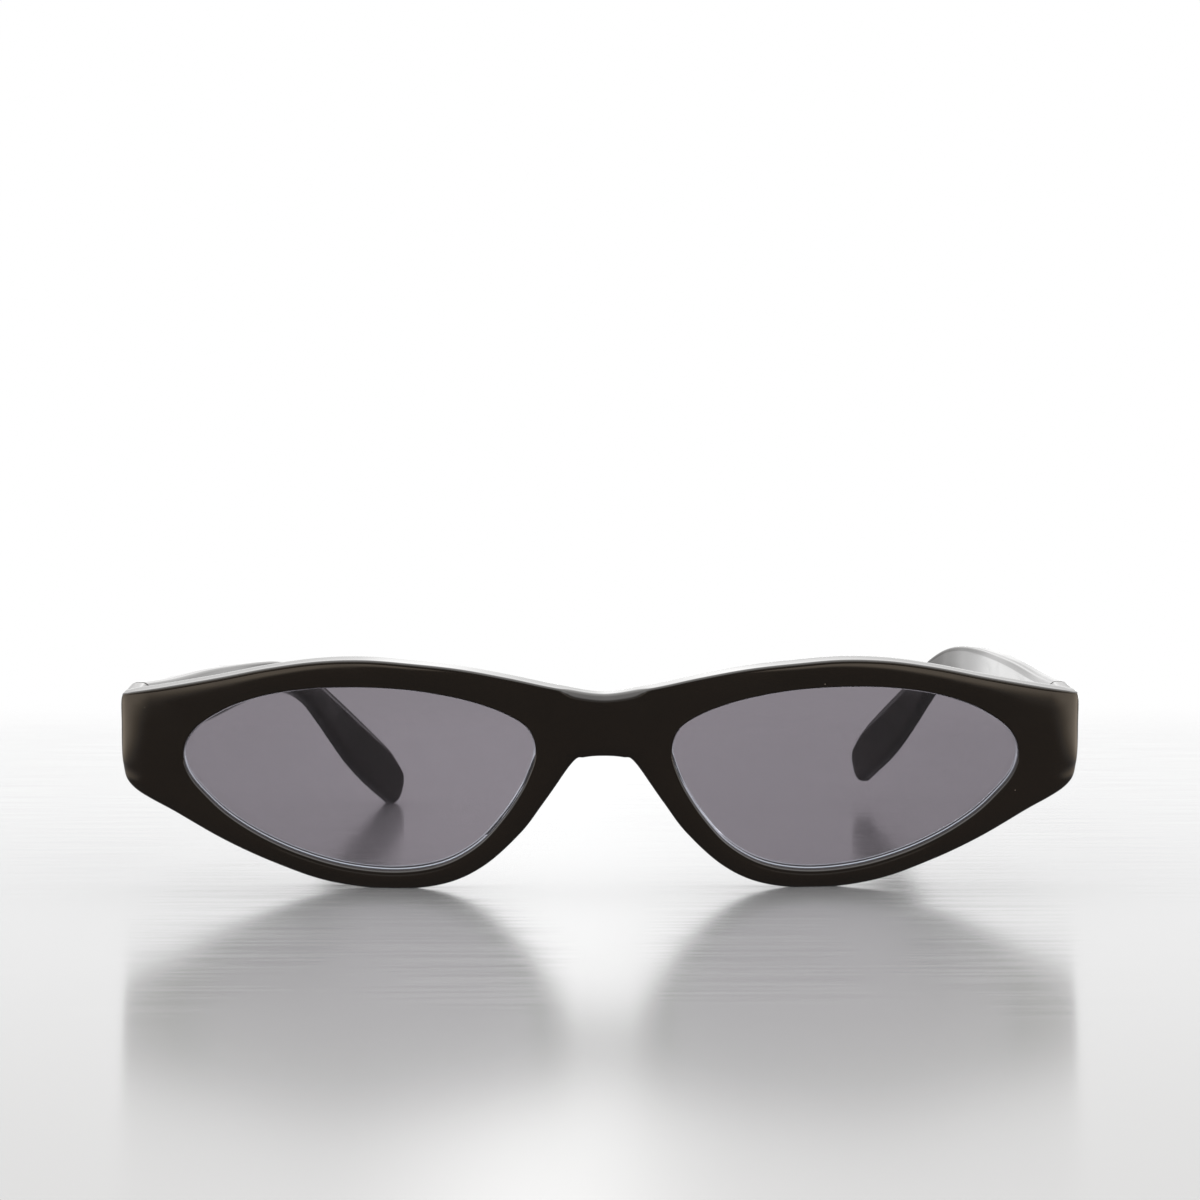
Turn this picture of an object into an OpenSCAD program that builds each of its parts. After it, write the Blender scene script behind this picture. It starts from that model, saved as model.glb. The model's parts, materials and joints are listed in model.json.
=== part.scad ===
// Slim cat-eye sunglasses: a one-piece plastic front with two curved tinted lenses,
// two folding temples with drop ends, and two three-knuckle screw hinges.
// Millimetres. +X is the wearer's left, the front faces -Y, +Z is up.
// The glasses stand open on the two lower rims and the right temple's tip, at Z = 0.
// The left temple is set a little high, as worn frames are.

/* [Lens openings] */
// Width of one lens opening
lens_w = 52; // [44:0.5:60]
// Height of one lens opening
lens_h = 27.3; // [22:0.1:40]
// Distance between the two openings across the bridge
lens_gap = 20; // [15:0.5:26]

/* [Front] */
// Height of the rim under a lens
rim_low = 2.75; // [2:0.05:5]
// Height of the brow above a lens
rim_top = 4.1; // [3:0.05:7]
// Width of the corner outboard of a lens
corner_w = 9.7; // [7:0.5:14]
// Step in from the front's outer edge to the end pieces' sides
end_step = 0.1; // [0:0.1:1]
// Front-to-back depth of the rims
rim_d = 4.2; // [3.6:0.1:6]
// Radius of the curve that the front follows from side to side
wrap_r = 260; // [160:5:500]
// Lean of the front, top edge forward, in degrees
lean = 8; // [4:0.5:12]
// Rounding of the rims' edges
edge_r = 0.8; // [0.3:0.05:1.2]
// Bevel of the lens openings' edges
lip_bevel = 0.3; // [0.1:0.05:0.5]
// Rounding of the front's outer corners
corner_r = 3.2; // [1:0.1:4]
// Depth that the moulded nose pads add behind the rims
pad_d = 4; // [0:0.1:6]
// Height of the flat ground on each lower rim
rest_cut = 0.15; // [0.05:0.05:0.4]

/* [Lenses] */
// Thickness of a lens
lens_t = 2; // [1.6:0.1:2.4]
// Depth of the front lip before the lens
lens_lip = 1.2; // [0.8:0.1:1.6]
// Depth of the groove that holds the lens
groove_d = 0.9; // [0.5:0.1:1.4]
// Clearance all round the lens in its groove
lens_fit = 0.1; // [0.05:0.01:0.15]

/* [Temples] */
// Distance from the front's reference line back to the hinge seam
seam_y = 15.5; // [13:0.5:20]
// Reach of a temple behind the seam
temple_reach = 128; // [110:1:140]
// Inward travel of a temple from hinge to tip
temple_tuck = 22.9; // [10:0.1:26]
// Outward splay of the open temples, in degrees
temple_splay = 3.5; // [0:0.1:5]
// Swing of the right temple in from its open stop, in degrees
right_swing = 7.8; // [0:0.1:60]
// Lift of the left temple towards its tip, in degrees
left_lift = 1.8; // [0:0.1:3]
// Height of the temple's centre line above the floor at the hinge
hinge_z = 24.05; // [20:0.1:34]
// Rise of the centre line from the hinge to the ear bend
temple_rise = 2.65; // [0:0.1:8]
// Height of a temple at the hinge
temple_h = 11.3; // [9:0.1:14]
// Height of a temple at the ear bend
waist_h = 5.2; // [4.5:0.1:9]
// Height of a temple across its flared end
tip_h = 8.8; // [6:0.1:11]
// Thickness of a temple
temple_t = 3.2; // [3:0.1:4.5]
// Rounding of the long edges of temples and end pieces
temple_r = 0.8; // [0.5:0.1:1.4]
// Gap between the front's end piece and the temple when open
seam_gap = 0.15; // [0.1:0.05:0.4]

/* [Hinges] */
// Radius of a hinge knuckle
knuckle_r = 1.5; // [1.2:0.1:2]
// Height of the three knuckles together
knuckle_h = 6.6; // [5:0.1:8]
// Play between neighbouring knuckles
knuckle_gap = 0.1; // [0.05:0.05:0.2]
// Distance between the knuckles and the faces that the leaves lie on
axis_gap = 0.4; // [0.3:0.05:0.8]
// Thickness of a hinge leaf
leaf_t = 0.9; // [0.7:0.05:1.2]
// Height of a hinge leaf
leaf_h = 7.4; // [6:0.1:9]
// Length of the temple's leaf behind the axis
leaf_l = 10; // [8:0.5:14]
// Length of the front's leaf before the axis
front_leaf_l = 5; // [4.6:0.1:5.2]
// Depth that a leaf is let into the plastic
leaf_sink = 0.4; // [0.2:0.05:0.6]
// Radius of a pivot screw
pivot_r = 0.7; // [0.6:0.05:0.9]
// Radius of a leaf screw
screw_r = 0.55; // [0.45:0.05:0.7]
// Length of a leaf screw
screw_l = 2.8; // [2.2:0.1:3]
// Radius of the stiffening wire inside a temple
wire_r = 0.6; // [0.4:0.05:0.8]

/* [Hidden] */

$fn = 48;
fit = 0.03;
play = 0.05;

front_h = rim_low + lens_h + rim_top;
half_w = lens_gap / 2 + lens_w + corner_w;

face_x = half_w - end_step - temple_t;
axis_off = knuckle_r + axis_gap;
axis_x = face_x - axis_off;
third_h = (knuckle_h - 2 * knuckle_gap) / 3;
leaf_face = axis_off + leaf_sink - leaf_t;

// Lens opening: each knot as a share of the opening's width and height
OPENING = [
    [0.025, 0.800],
    [0.060, 0.846],
    [0.125, 0.901],
    [0.221, 0.952],
    [0.346, 0.989],
    [0.481, 1.000],
    [0.615, 0.989],
    [0.740, 0.951],
    [0.846, 0.886],
    [0.923, 0.806],
    [0.971, 0.729],
    [0.995, 0.648],
    [0.998, 0.568],
    [0.981, 0.484],
    [0.942, 0.396],
    [0.875, 0.282],
    [0.779, 0.172],
    [0.663, 0.081],
    [0.529, 0.018],
    [0.385, 0.002],
    [0.260, 0.046],
    [0.163, 0.152],
    [0.092, 0.300],
    [0.040, 0.451],
    [0.012, 0.568],
    [0.000, 0.646],
    [0.001, 0.707],
    [0.010, 0.758]
];

// Outline of one half, from the top of the bridge round to its underside:
// shares of half gap, lens width, corner width, low rim, lens height, brow
OUTLINE = [
    [0.00, 0.0000, 0.000, 1.00, 0.899, 0.5],
    [0.70, 0.0000, 0.000, 1.00, 0.923, 0.6],
    [1.00, 0.0770, 0.000, 1.00, 0.946, 0.8],
    [1.00, 0.2115, 0.000, 1.00, 0.960, 1.0],
    [1.00, 0.3460, 0.000, 1.00, 0.985, 1.0],
    [1.00, 0.4810, 0.000, 1.00, 1.000, 1.0],
    [1.00, 0.6150, 0.000, 1.00, 0.985, 1.0],
    [1.00, 0.7540, 0.000, 1.00, 0.941, 1.0],
    [1.00, 0.8700, 0.140, 1.00, 0.879, 1.0],
    [1.00, 0.9500, 0.400, 1.00, 0.828, 1.0],
    [1.00, 1.0000, 0.856, 1.00, 0.770, 1.0],
    [1.00, 1.0000, 0.985, 1.00, 0.742, 1.0],
    [1.00, 1.0000, 1.000, 1.00, 0.685, 0.5],
    [1.00, 1.0000, 0.985, 1.00, 0.514, 0.0],
    [1.00, 1.0000, 0.820, 1.00, 0.396, 0.0],
    [1.00, 0.9600, 0.379, 1.00, 0.277, 0.0],
    [1.00, 0.8750, 0.052, 1.00, 0.132, 0.0],
    [1.00, 0.7400, 0.000, 1.00, 0.018, 0.0],
    [1.00, 0.5865, 0.000, 0.29, 0.000, 0.0],
    [1.00, 0.4135, 0.000, -0.03, 0.000, 0.0],
    [1.00, 0.2600, 0.000, 0.31, 0.000, 0.0],
    [1.00, 0.1460, 0.000, 1.00, 0.033, 0.0],
    [1.00, 0.0420, 0.000, 1.00, 0.216, 0.0],
    [0.88, 0.0000, 0.000, 1.00, 0.383, 0.0],
    [0.455, 0.0000, 0.000, 1.00, 0.603, 0.0],
    [0.28, 0.0000, 0.000, 1.00, 0.631, 0.0],
    [0.00, 0.0000, 0.000, 1.00, 0.639, 0.0]
];

// Temple's centre line and height: shares of reach, tuck, rise and drop,
// then the section's height
TEMPLE = [
    [0.000, 0.000, 0.00, 0.000, temple_h],
    [0.156, 0.022, 0.29, 0.000, temple_h * 0.7 + waist_h * 0.3],
    [0.336, 0.070, 0.60, 0.000, temple_h * 0.55 + waist_h * 0.45],
    [0.520, 0.135, 0.88, 0.000, temple_h * 0.27 + waist_h * 0.73],
    [0.640, 0.240, 1.00, 0.000, temple_h * 0.1 + waist_h * 0.9],
    [0.712, 0.345, 1.00, 0.029, waist_h],
    [0.765, 0.455, 1.00, 0.126, waist_h],
    [0.815, 0.560, 1.00, 0.286, waist_h * 0.7 + tip_h * 0.3],
    [0.862, 0.672, 1.00, 0.466, waist_h * 0.3 + tip_h * 0.7],
    [0.909, 0.790, 1.00, 0.646, tip_h],
    [0.956, 0.905, 1.00, 0.805, tip_h],
    [1.000, 1.000, 1.00, 0.950, tip_h * 0.9]
];

// Stations between neighbouring knots, and the cut across the bridge
SUB = 3;
CUT = SUB * (len(OUTLINE) - 1);
STATIONS = SUB * len(OPENING);
LAYERS = 14;
BORE = 8;
// Knot in the middle of a nose pad, and the pad's half length in knots
PAD_KNOT = 23;
PAD_REACH = 3.2;
// Knots where the rounding of the outer corner starts, is full, and ends
CORNER_KNOTS = [9.67, 11.33, 13, 15];

function knot(k) = [
    lens_gap / 2 + lens_w * k[0],
    rim_low + lens_h * k[1]
];
function rim_knot(k) = [
    k[0] * lens_gap / 2 + k[1] * lens_w + k[2] * corner_w,
    k[3] * rim_low + k[4] * lens_h + k[5] * rim_top
];
function curve(a, b, c, d, t) =
    0.5 * (2 * b + (c - a) * t + (2 * a - 5 * b + 4 * c - d) * t * t
    + (3 * b - a - 3 * c + d) * t * t * t);
function flip(p) = [-p[0], p[1]];

HOLE_KNOTS = [for (k = OPENING) knot(k)];
RIM_KNOTS = [for (k = OUTLINE) rim_knot(k)];
function hole_at(i) = HOLE_KNOTS[(i + 2 * len(OPENING)) % len(OPENING)];
function rim_at(i) = i < 0 ? flip(RIM_KNOTS[-i])
    : i >= len(OUTLINE) ? flip(RIM_KNOTS[2 * len(OUTLINE) - 2 - i])
    : RIM_KNOTS[i];

HOLE = [for (i = [0:STATIONS - 1]) let (k = floor(i / SUB), t = i / SUB - k)
    curve(hole_at(k - 1), hole_at(k), hole_at(k + 1), hole_at(k + 2), t)];
RIM = [for (i = [0:CUT]) let (k = min(floor(i / SUB), len(OUTLINE) - 2), t = i / SUB - k)
    curve(rim_at(k - 1), rim_at(k), rim_at(k + 1), rim_at(k + 2), t)];

function unit(v) = v / norm(v);
function left_of(v) = unit([-v[1], v[0]]);
function hole_out(i) = left_of(HOLE[(i + 1) % STATIONS] - HOLE[(i + STATIONS - 1) % STATIONS]);
function rim_next(i) = i >= CUT ? flip(RIM[CUT - 1]) : RIM[i + 1];
function rim_last(i) = i <= 0 ? flip(RIM[1]) : RIM[i - 1];
function rim_in(i) = let (q = -left_of(rim_next(i) - rim_last(i)), c = i / SUB < CORNER_KNOTS[2] ? corner(i) : 0)
    unit(q * (1 - c) + [-c, 0]);

// Depth of the front behind its flat reference plane at a given X
function wrap(x) = wrap_r - sqrt(wrap_r * wrap_r - x * x);
// Smooth hump that is one at the middle station and zero beyond the reach
function hump(i, mid, reach) = let (d = abs(i - mid) / reach) d >= 1 ? 0 : pow(cos(90 * d), 2);
function pad(i) = pad_d * hump(i, SUB * PAD_KNOT, SUB * PAD_REACH);
function corner(i) = let (k = i / SUB, c = CORNER_KNOTS)
    max(0, min(1, (k - c[0]) / (c[1] - c[0]), (c[3] - k) / (c[3] - c[2])));
function front_r(i) = edge_r + (corner_r - edge_r) * corner(i);
function rear_r(i) = edge_r - (edge_r - 0.25) * corner(i);
function at(p, n) = [p[0], wrap(p[0]) + n, p[1]];

// Points of one section of the front: lens side from front to back,
// then the outside from back to front
function section_in(i) = let (p = HOLE[i], o = hole_out(i), b = rim_d + 0.3 * pad(i)) [
    at(p + lip_bevel * o, 0),
    at(p, lip_bevel),
    at(p, lens_lip - lens_fit),
    at(p + groove_d * o, lens_lip - lens_fit),
    at(p + groove_d * o, lens_lip + lens_t + lens_fit),
    at(p, lens_lip + lens_t + lens_fit),
    at(p, b - lip_bevel),
    at(p + lip_bevel * o, b)
];
function section_out(i) = let (p = RIM[i], q = rim_in(i), f = front_r(i), r = rear_r(i),
    b = rim_d + pad(i)) [
    at(p + r * q, b),
    at(p + 0.3 * r * q, b - 0.3 * r),
    at(p, b - r),
    at(p, f),
    at(p + 0.3 * f * q, 0.3 * f),
    at(p + f * q, 0)
];
function cut_point(i) = let (t = (i - CUT) / (STATIONS - CUT))
    [0, RIM[CUT][1] * (1 - t) + RIM[0][1] * t];
function section_cut(i) = [at(cut_point(i), rim_d), at(cut_point(i), 0)];

RIGHT = [for (i = [0:STATIONS - 1]) each concat(section_in(i),
    i <= CUT ? section_out(i) : section_cut(i))];
LEFT = [for (i = [0:STATIONS - 1]) each [for (p = concat(section_in(i),
    i > 0 && i < CUT ? section_out(i) : [])) [-p[0], p[1], p[2]]]];

// Index of a point in each half; points on the middle plane are shared
function own(i, j) = i <= CUT ? i * LAYERS + j
    : (CUT + 1) * LAYERS + (i - CUT - 1) * (BORE + 2) + (j <= BORE ? j : BORE + 1);
function other(i, j) = j >= BORE && (i == 0 || i >= CUT) ? own(i, j)
    : len(RIGHT) + (i == 0 ? j
    : i < CUT ? BORE + (i - 1) * LAYERS + j
    : BORE + (CUT - 1) * LAYERS + (i - CUT) * BORE + j);
function mates(i, j) = i >= CUT && j >= BORE && j < LAYERS - 1;

SHELL_POINTS = concat(RIGHT, LEFT);
SHELL_FACES = [for (i = [0:STATIONS - 1]) let (n = (i + 1) % STATIONS)
    for (j = [0:LAYERS - 1]) let (m = (j + 1) % LAYERS)
    if (!mates(i, j)) each [
        [own(i, j), own(n, j), own(n, m)],
        [own(i, j), own(n, m), own(i, m)],
        [other(i, j), other(n, m), other(n, j)],
        [other(i, j), other(i, m), other(n, m)]
    ]];

// Place of a point of the front once it leans
function leant(p) = [p[0], p[1] * cos(lean) - p[2] * sin(lean), p[1] * sin(lean) + p[2] * cos(lean)];
drop_z = min([for (p = SHELL_POINTS) leant(p)[2]]) + rest_cut;
fore_y = min([for (p = SHELL_POINTS) leant(p)[1]]);

// Centre line of the left temple
temple_x = face_x + temple_t / 2;
tip_drop = hinge_z + temple_rise - 0.24 * tip_h;
function temple_knots(lift) = [for (k = TEMPLE) let (y = k[0] * temple_reach) [
    temple_x + y * tan(temple_splay) - k[1] * temple_tuck,
    seam_y + seam_gap + y,
    hinge_z + k[2] * temple_rise - k[3] * tip_drop + y * tan(lift),
    k[4]
]];
TURNS = len(TEMPLE) - 1;
function temple_at(w, i) = i < 0 ? 2 * w[0] - w[1]
    : i > TURNS ? 2 * w[TURNS] - w[TURNS - 1]
    : w[i];
function path(w, s) = let (k = min(floor(s), TURNS - 1), t = s - k)
    curve(temple_at(w, k - 1), temple_at(w, k), temple_at(w, k + 1), temple_at(w, k + 2), t);
function way(w, s) = let (e = 0.02, a = path(w, max(s - e, 0)), b = path(w, min(s + e, TURNS)))
    s < e ? [0, 1, 0] : unit([b[0] - a[0], b[1] - a[1], b[2] - a[2]]);
LEFT_WAY = temple_knots(left_lift);
RIGHT_WAY = temple_knots(0);

// Rounded-rectangle ring of a given thickness and height round a place on the path
function ring2(w, h, r) = [for (q = [0:3]) for (a = [0:30:90])
    [(q == 0 || q == 3 ? 1 : -1) * (w / 2 - r) + r * cos(a + 90 * q),
    (q < 2 ? 1 : -1) * (h / 2 - r) + r * sin(a + 90 * q)]];
function ring3(c, d, pts) = let (u = unit(cross(d, [0, 0, 1])), v = cross(u, d))
    [for (p = pts) [c[0], c[1], c[2]] + p[0] * u + p[1] * v];
// Share of the thickness that is left along a temple, which thins towards the ear bend
function slim(s) = let (t = max(0, min(1, (s - 2) / 4))) 1 - 0.2 * t * t * (3 - 2 * t);
function temple_ring(w, s, shrink, ahead) = let (c = path(w, s), d = way(w, s))
    ring3([c[0], c[1], c[2]] + ahead * d, d,
        ring2(temple_t * slim(s) * (1 + shrink) / 2, c[3] * shrink, min(temple_r, 0.4 * c[3] * shrink)));
function temple_rings(w) = concat(
    [for (i = [0:3 * TURNS]) temple_ring(w, i / 3, 1, 0)],
    [temple_ring(w, TURNS, 0.82, 0.9), temple_ring(w, TURNS, 0.63, 1.5), temple_ring(w, TURNS, 0.42, 1.9),
        temple_ring(w, TURNS, 0.2, 2.15)]
);
function swung_y(p) = seam_y + (p[1] - seam_y) * cos(right_swing) + (p[0] - axis_x) * sin(right_swing);
rear_y = max(concat(
    [for (r = temple_rings(LEFT_WAY)) for (p = r) p[1]],
    [for (r = temple_rings(RIGHT_WAY)) for (p = r) swung_y(p)]
));
mid_y = (fore_y + rear_y) / 2;

WIRE_FROM = 1.2;
WIRE_TO = TURNS - 1;
function wire_rings(w, r) = [for (i = [0:26])
    let (s = WIRE_FROM + (WIRE_TO - WIRE_FROM) * i / 26, c = path(w, s))
    ring3(c, way(w, s), [for (a = [0:45:315]) r * [cos(a), sin(a)]])];

// Solid through a row of rings
module loft(rings) {
    m = len(rings[0]);
    n = len(rings);
    polyhedron(
        points = [for (r = rings) each r],
        faces = concat(
            [[for (j = [0:m - 1]) m - 1 - j]],
            [[for (j = [0:m - 1]) (n - 1) * m + j]],
            [for (i = [0:n - 2]) for (j = [0:m - 1]) each [
                [i * m + j, (i + 1) * m + (j + 1) % m, (i + 1) * m + j],
                [i * m + j, i * m + (j + 1) % m, (i + 1) * m + (j + 1) % m]
            ]]
        ),
        convexity = 8
    );
}

// Moves the parts from the front's reference line to the middle of the footprint
module stand() {
    translate([0, -mid_y, 0])
        children();
}

module lean_front() {
    translate([0, 0, -drop_z])
        rotate([lean, 0, 0])
            children();
}

// Rings of an end piece: distance before the seam, growth of the inner side,
// inset of the outer side
END_RINGS = [
    [7.5, 0.5, 2.6],
    [5.5, 0.2, 0.5],
    [3.6, 0.0, 0.0],
    [0.0, 0.0, 0.0]
];

// Wrapped end piece behind the left corner of the front, its top square to the lean
function end_ring(y, x0, x1, z0, z1) = let (r = min(temple_r, 0.4 * (x1 - x0)))
    [for (p = ring2(x1 - x0, z1 - z0, r)) [(x0 + x1) / 2 + p[0], y, (z0 + z1) / 2 + p[1]]];
module end_piece() {
    top = hinge_z + temple_h / 2;
    low = hinge_z - temple_h / 2;
    loft([for (e = END_RINGS)
        end_ring(seam_y - e[0], face_x - e[1], face_x + temple_t - e[2], low, top - e[0] * tan(lean))]);
}

// Space that a leaf and its screws need in the plastic; dir is 1 behind the seam
module leaf_seat(dir, far, spots) {
    y0 = dir > 0 ? seam_y - 0.5 : seam_y - far - play;
    translate([face_x - 1, y0, hinge_z - leaf_h / 2 - play])
        cube([1 + leaf_sink + play, far + play + 0.5, leaf_h + 2 * play]);
    for (s = spots)
        translate([face_x, seam_y + s[0], hinge_z + s[1]])
            rotate([0, 90, 0])
                cylinder(r = screw_r + fit, h = leaf_sink + screw_l - leaf_t + 0.3);
}

FRONT_SPOTS = [[-3.4, 2.35], [-3.4, -2.35]];
TEMPLE_SPOTS = [[4, 0], [7.6, 0]];

module knuckle(z, h) {
    translate([0, 0, z])
        cylinder(r = knuckle_r, h = h);
    translate([0, -knuckle_r, z])
        cube([leaf_face + 0.2, knuckle_r, h]);
}

module screw_holes(spots) {
    for (s = spots)
        translate([leaf_face, s[0], s[1]])
            rotate([0, 90, 0]) {
                translate([0, 0, -0.5])
                    cylinder(r = screw_r + fit, h = leaf_t + 1);
                translate([0, 0, -0.01])
                    cylinder(r1 = 2 * screw_r - 0.1 + fit, r2 = screw_r + fit, h = 0.5);
            }
}

// Front leaf in the hinge's own frame: axis at the origin, seam at Y = 0
module front_leaf() {
    difference() {
        union() {
            knuckle(-knuckle_h / 2, third_h);
            knuckle(knuckle_h / 2 - third_h, third_h);
            for (z = [-knuckle_h / 2, knuckle_h / 2 - third_h])
                translate([leaf_face, -knuckle_r - 0.8, z])
                    cube([leaf_t, knuckle_r + 0.8, third_h]);
            translate([leaf_face, -front_leaf_l, -leaf_h / 2])
                cube([leaf_t, front_leaf_l - knuckle_r - 0.4, leaf_h]);
        }
        translate([0, 0, -knuckle_h])
            cylinder(r = pivot_r + fit, h = 2 * knuckle_h);
        screw_holes(FRONT_SPOTS);
    }
}

module temple_leaf() {
    difference() {
        union() {
            mirror([0, 1, 0])
                knuckle(-third_h / 2, third_h);
            translate([leaf_face, 0, -third_h / 2])
                cube([leaf_t, knuckle_r + 0.8, third_h]);
            translate([leaf_face, knuckle_r + 0.4, -leaf_h / 2])
                cube([leaf_t, leaf_l - knuckle_r - 0.4, leaf_h]);
        }
        translate([0, 0, -knuckle_h])
            cylinder(r = pivot_r + play, h = 2 * knuckle_h);
        screw_holes(TEMPLE_SPOTS);
    }
}

module pivot_screw() {
    difference() {
        union() {
            translate([0, 0, -knuckle_h / 2])
                cylinder(r = pivot_r, h = knuckle_h + 0.1);
            translate([0, 0, knuckle_h / 2])
                cylinder(r = knuckle_r - 0.15, h = 0.55);
        }
        translate([-2, -0.15, knuckle_h / 2 + 0.3])
            cube([4, 0.3, 1]);
    }
}

// Countersunk screw along +X with its head's face on the leaf's face
module leaf_screw(spot) {
    translate([leaf_face, spot[0], spot[1]])
        rotate([0, 90, 0])
            difference() {
                union() {
                    cylinder(r = screw_r, h = screw_l);
                    cylinder(r1 = 2 * screw_r - 0.1, r2 = screw_r, h = 0.5);
                }
                translate([-2, -0.12, -1])
                    cube([4, 0.24, 1.2]);
            }
}

module at_hinge() {
    stand()
        translate([axis_x, seam_y, hinge_z])
            children();
}

module on_right() {
    mirror([1, 0, 0])
        children();
}

// Turns a temple's parts in about the hinge axis from the open stop
module swing_in() {
    translate([axis_x, seam_y, 0])
        rotate([0, 0, right_swing])
            translate([-axis_x, -seam_y, 0])
                children();
}

module front_frame() {
    color([0.03, 0.028, 0.026])
        stand()
            difference() {
                union() {
                    lean_front()
                        polyhedron(points = SHELL_POINTS, faces = SHELL_FACES, convexity = 12);
                    end_piece();
                    on_right()
                        end_piece();
                }
                leaf_seat(-1, front_leaf_l, FRONT_SPOTS);
                on_right()
                    leaf_seat(-1, front_leaf_l, FRONT_SPOTS);
                translate([-60, -20, -10])
                    cube([120, 60, 10]);
            }
}

module left_lens() {
    color([0.2, 0.19, 0.21, 0.6])
        stand()
            lean_front()
                intersection() {
                    rotate([90, 0, 0])
                        translate([0, 0, -20])
                            linear_extrude(height = 30)
                                polygon([for (i = [0:STATIONS - 1])
                                    HOLE[i] + (groove_d - lens_fit) * hole_out(i)]);
                    difference() {
                        translate([0, lens_lip + wrap_r, -5])
                            cylinder(r = wrap_r, h = front_h + 10, $fn = 360);
                        translate([0, lens_lip + lens_t + wrap_r, -6])
                            cylinder(r = wrap_r, h = front_h + 12, $fn = 360);
                    }
                }
}

module right_lens() {
    on_right()
        left_lens();
}

module temple(w) {
    color([0.03, 0.028, 0.026])
        difference() {
            loft(temple_rings(w));
            loft(wire_rings(w, wire_r + play));
            leaf_seat(1, leaf_l, TEMPLE_SPOTS);
            translate([0, seam_y + 60, -10])
                cube([80, 120, 10]);
        }
}

module left_temple() {
    stand()
        temple(LEFT_WAY);
}

module right_temple() {
    on_right()
        stand()
            swing_in()
                temple(RIGHT_WAY);
}

module left_core_wire() {
    color([0.6, 0.6, 0.62])
        stand()
            loft(wire_rings(LEFT_WAY, wire_r));
}

module right_core_wire() {
    color([0.6, 0.6, 0.62])
        on_right()
            stand()
                swing_in()
                    loft(wire_rings(RIGHT_WAY, wire_r));
}

module left_front_leaf() {
    color([0.72, 0.7, 0.66])
        at_hinge()
            front_leaf();
}

module right_front_leaf() {
    on_right()
        left_front_leaf();
}

module left_temple_leaf() {
    color([0.72, 0.7, 0.66])
        at_hinge()
            temple_leaf();
}

module right_temple_leaf() {
    color([0.72, 0.7, 0.66])
        on_right()
            at_hinge()
                rotate([0, 0, right_swing])
                    temple_leaf();
}

module left_pivot_screw() {
    color([0.62, 0.6, 0.56])
        at_hinge()
            pivot_screw();
}

module right_pivot_screw() {
    on_right()
        left_pivot_screw();
}

module screw_node(spot) {
    color([0.62, 0.6, 0.56])
        at_hinge()
            leaf_screw(spot);
}

module swung_screw(spot) {
    color([0.62, 0.6, 0.56])
        at_hinge()
            rotate([0, 0, right_swing])
                leaf_screw(spot);
}

module left_front_screw_upper() {
    screw_node(FRONT_SPOTS[0]);
}

module left_front_screw_lower() {
    screw_node(FRONT_SPOTS[1]);
}

module right_front_screw_upper() {
    on_right()
        screw_node(FRONT_SPOTS[0]);
}

module right_front_screw_lower() {
    on_right()
        screw_node(FRONT_SPOTS[1]);
}

module left_temple_screw_fore() {
    screw_node(TEMPLE_SPOTS[0]);
}

module left_temple_screw_rear() {
    screw_node(TEMPLE_SPOTS[1]);
}

module right_temple_screw_fore() {
    on_right()
        swung_screw(TEMPLE_SPOTS[0]);
}

module right_temple_screw_rear() {
    on_right()
        swung_screw(TEMPLE_SPOTS[1]);
}

front_frame();
left_lens();
right_lens();
left_temple();
right_temple();
left_front_leaf();
right_front_leaf();
left_temple_leaf();
right_temple_leaf();
left_pivot_screw();
right_pivot_screw();
left_core_wire();
right_core_wire();
left_front_screw_upper();
left_front_screw_lower();
right_front_screw_upper();
right_front_screw_lower();
left_temple_screw_fore();
left_temple_screw_rear();
right_temple_screw_fore();
right_temple_screw_rear();
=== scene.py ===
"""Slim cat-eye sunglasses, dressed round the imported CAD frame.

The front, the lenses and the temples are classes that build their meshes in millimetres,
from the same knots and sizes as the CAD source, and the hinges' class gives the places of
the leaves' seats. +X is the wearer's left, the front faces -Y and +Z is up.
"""

import json
import logging
import math
from dataclasses import dataclass, field
from enum import Enum

import bmesh
import bpy
import numpy as np
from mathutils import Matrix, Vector


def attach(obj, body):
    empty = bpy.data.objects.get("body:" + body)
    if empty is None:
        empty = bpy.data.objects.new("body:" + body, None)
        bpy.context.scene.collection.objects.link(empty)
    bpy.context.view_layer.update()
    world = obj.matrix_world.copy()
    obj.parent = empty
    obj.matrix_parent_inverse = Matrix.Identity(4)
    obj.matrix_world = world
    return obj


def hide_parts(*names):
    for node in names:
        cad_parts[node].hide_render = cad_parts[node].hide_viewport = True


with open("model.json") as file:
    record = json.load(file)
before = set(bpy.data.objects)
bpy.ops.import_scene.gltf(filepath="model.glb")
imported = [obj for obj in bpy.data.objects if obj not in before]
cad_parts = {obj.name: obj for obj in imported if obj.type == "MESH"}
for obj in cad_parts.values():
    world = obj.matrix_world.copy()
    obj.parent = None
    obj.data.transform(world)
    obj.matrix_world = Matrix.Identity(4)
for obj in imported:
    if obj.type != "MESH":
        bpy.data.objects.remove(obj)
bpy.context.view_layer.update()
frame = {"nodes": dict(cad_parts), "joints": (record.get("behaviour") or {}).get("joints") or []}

LOG = logging.getLogger("sunglasses")
MM = 0.001

SHARP = 32.0  # degrees from which an edge of the plastic is drawn sharp
LENS_SHARP = 25.0  # the same for a lens
WELD = 0.002  # millimetres under which points are merged
ARC_SPANS = 6  # spans on each corner of a rounded ring
MOST_ROUND = 0.48  # largest radius of a ring's corners, as a share of its size
FLAT_END = 0.12  # share of a ring's flat side at which a point keeps its shading flat
KNOT_STEP = 0.15  # distance along the knots over which a direction is measured
TINY = 1e-6  # keeps a division or a place just off its limit

Colour = tuple[float, float, float, float]
Pair = tuple[float, float]
Triple = tuple[float, float, float]
Socket = bpy.types.NodeSocket

WHITE: Colour = (1.0, 1.0, 1.0, 1.0)


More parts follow.
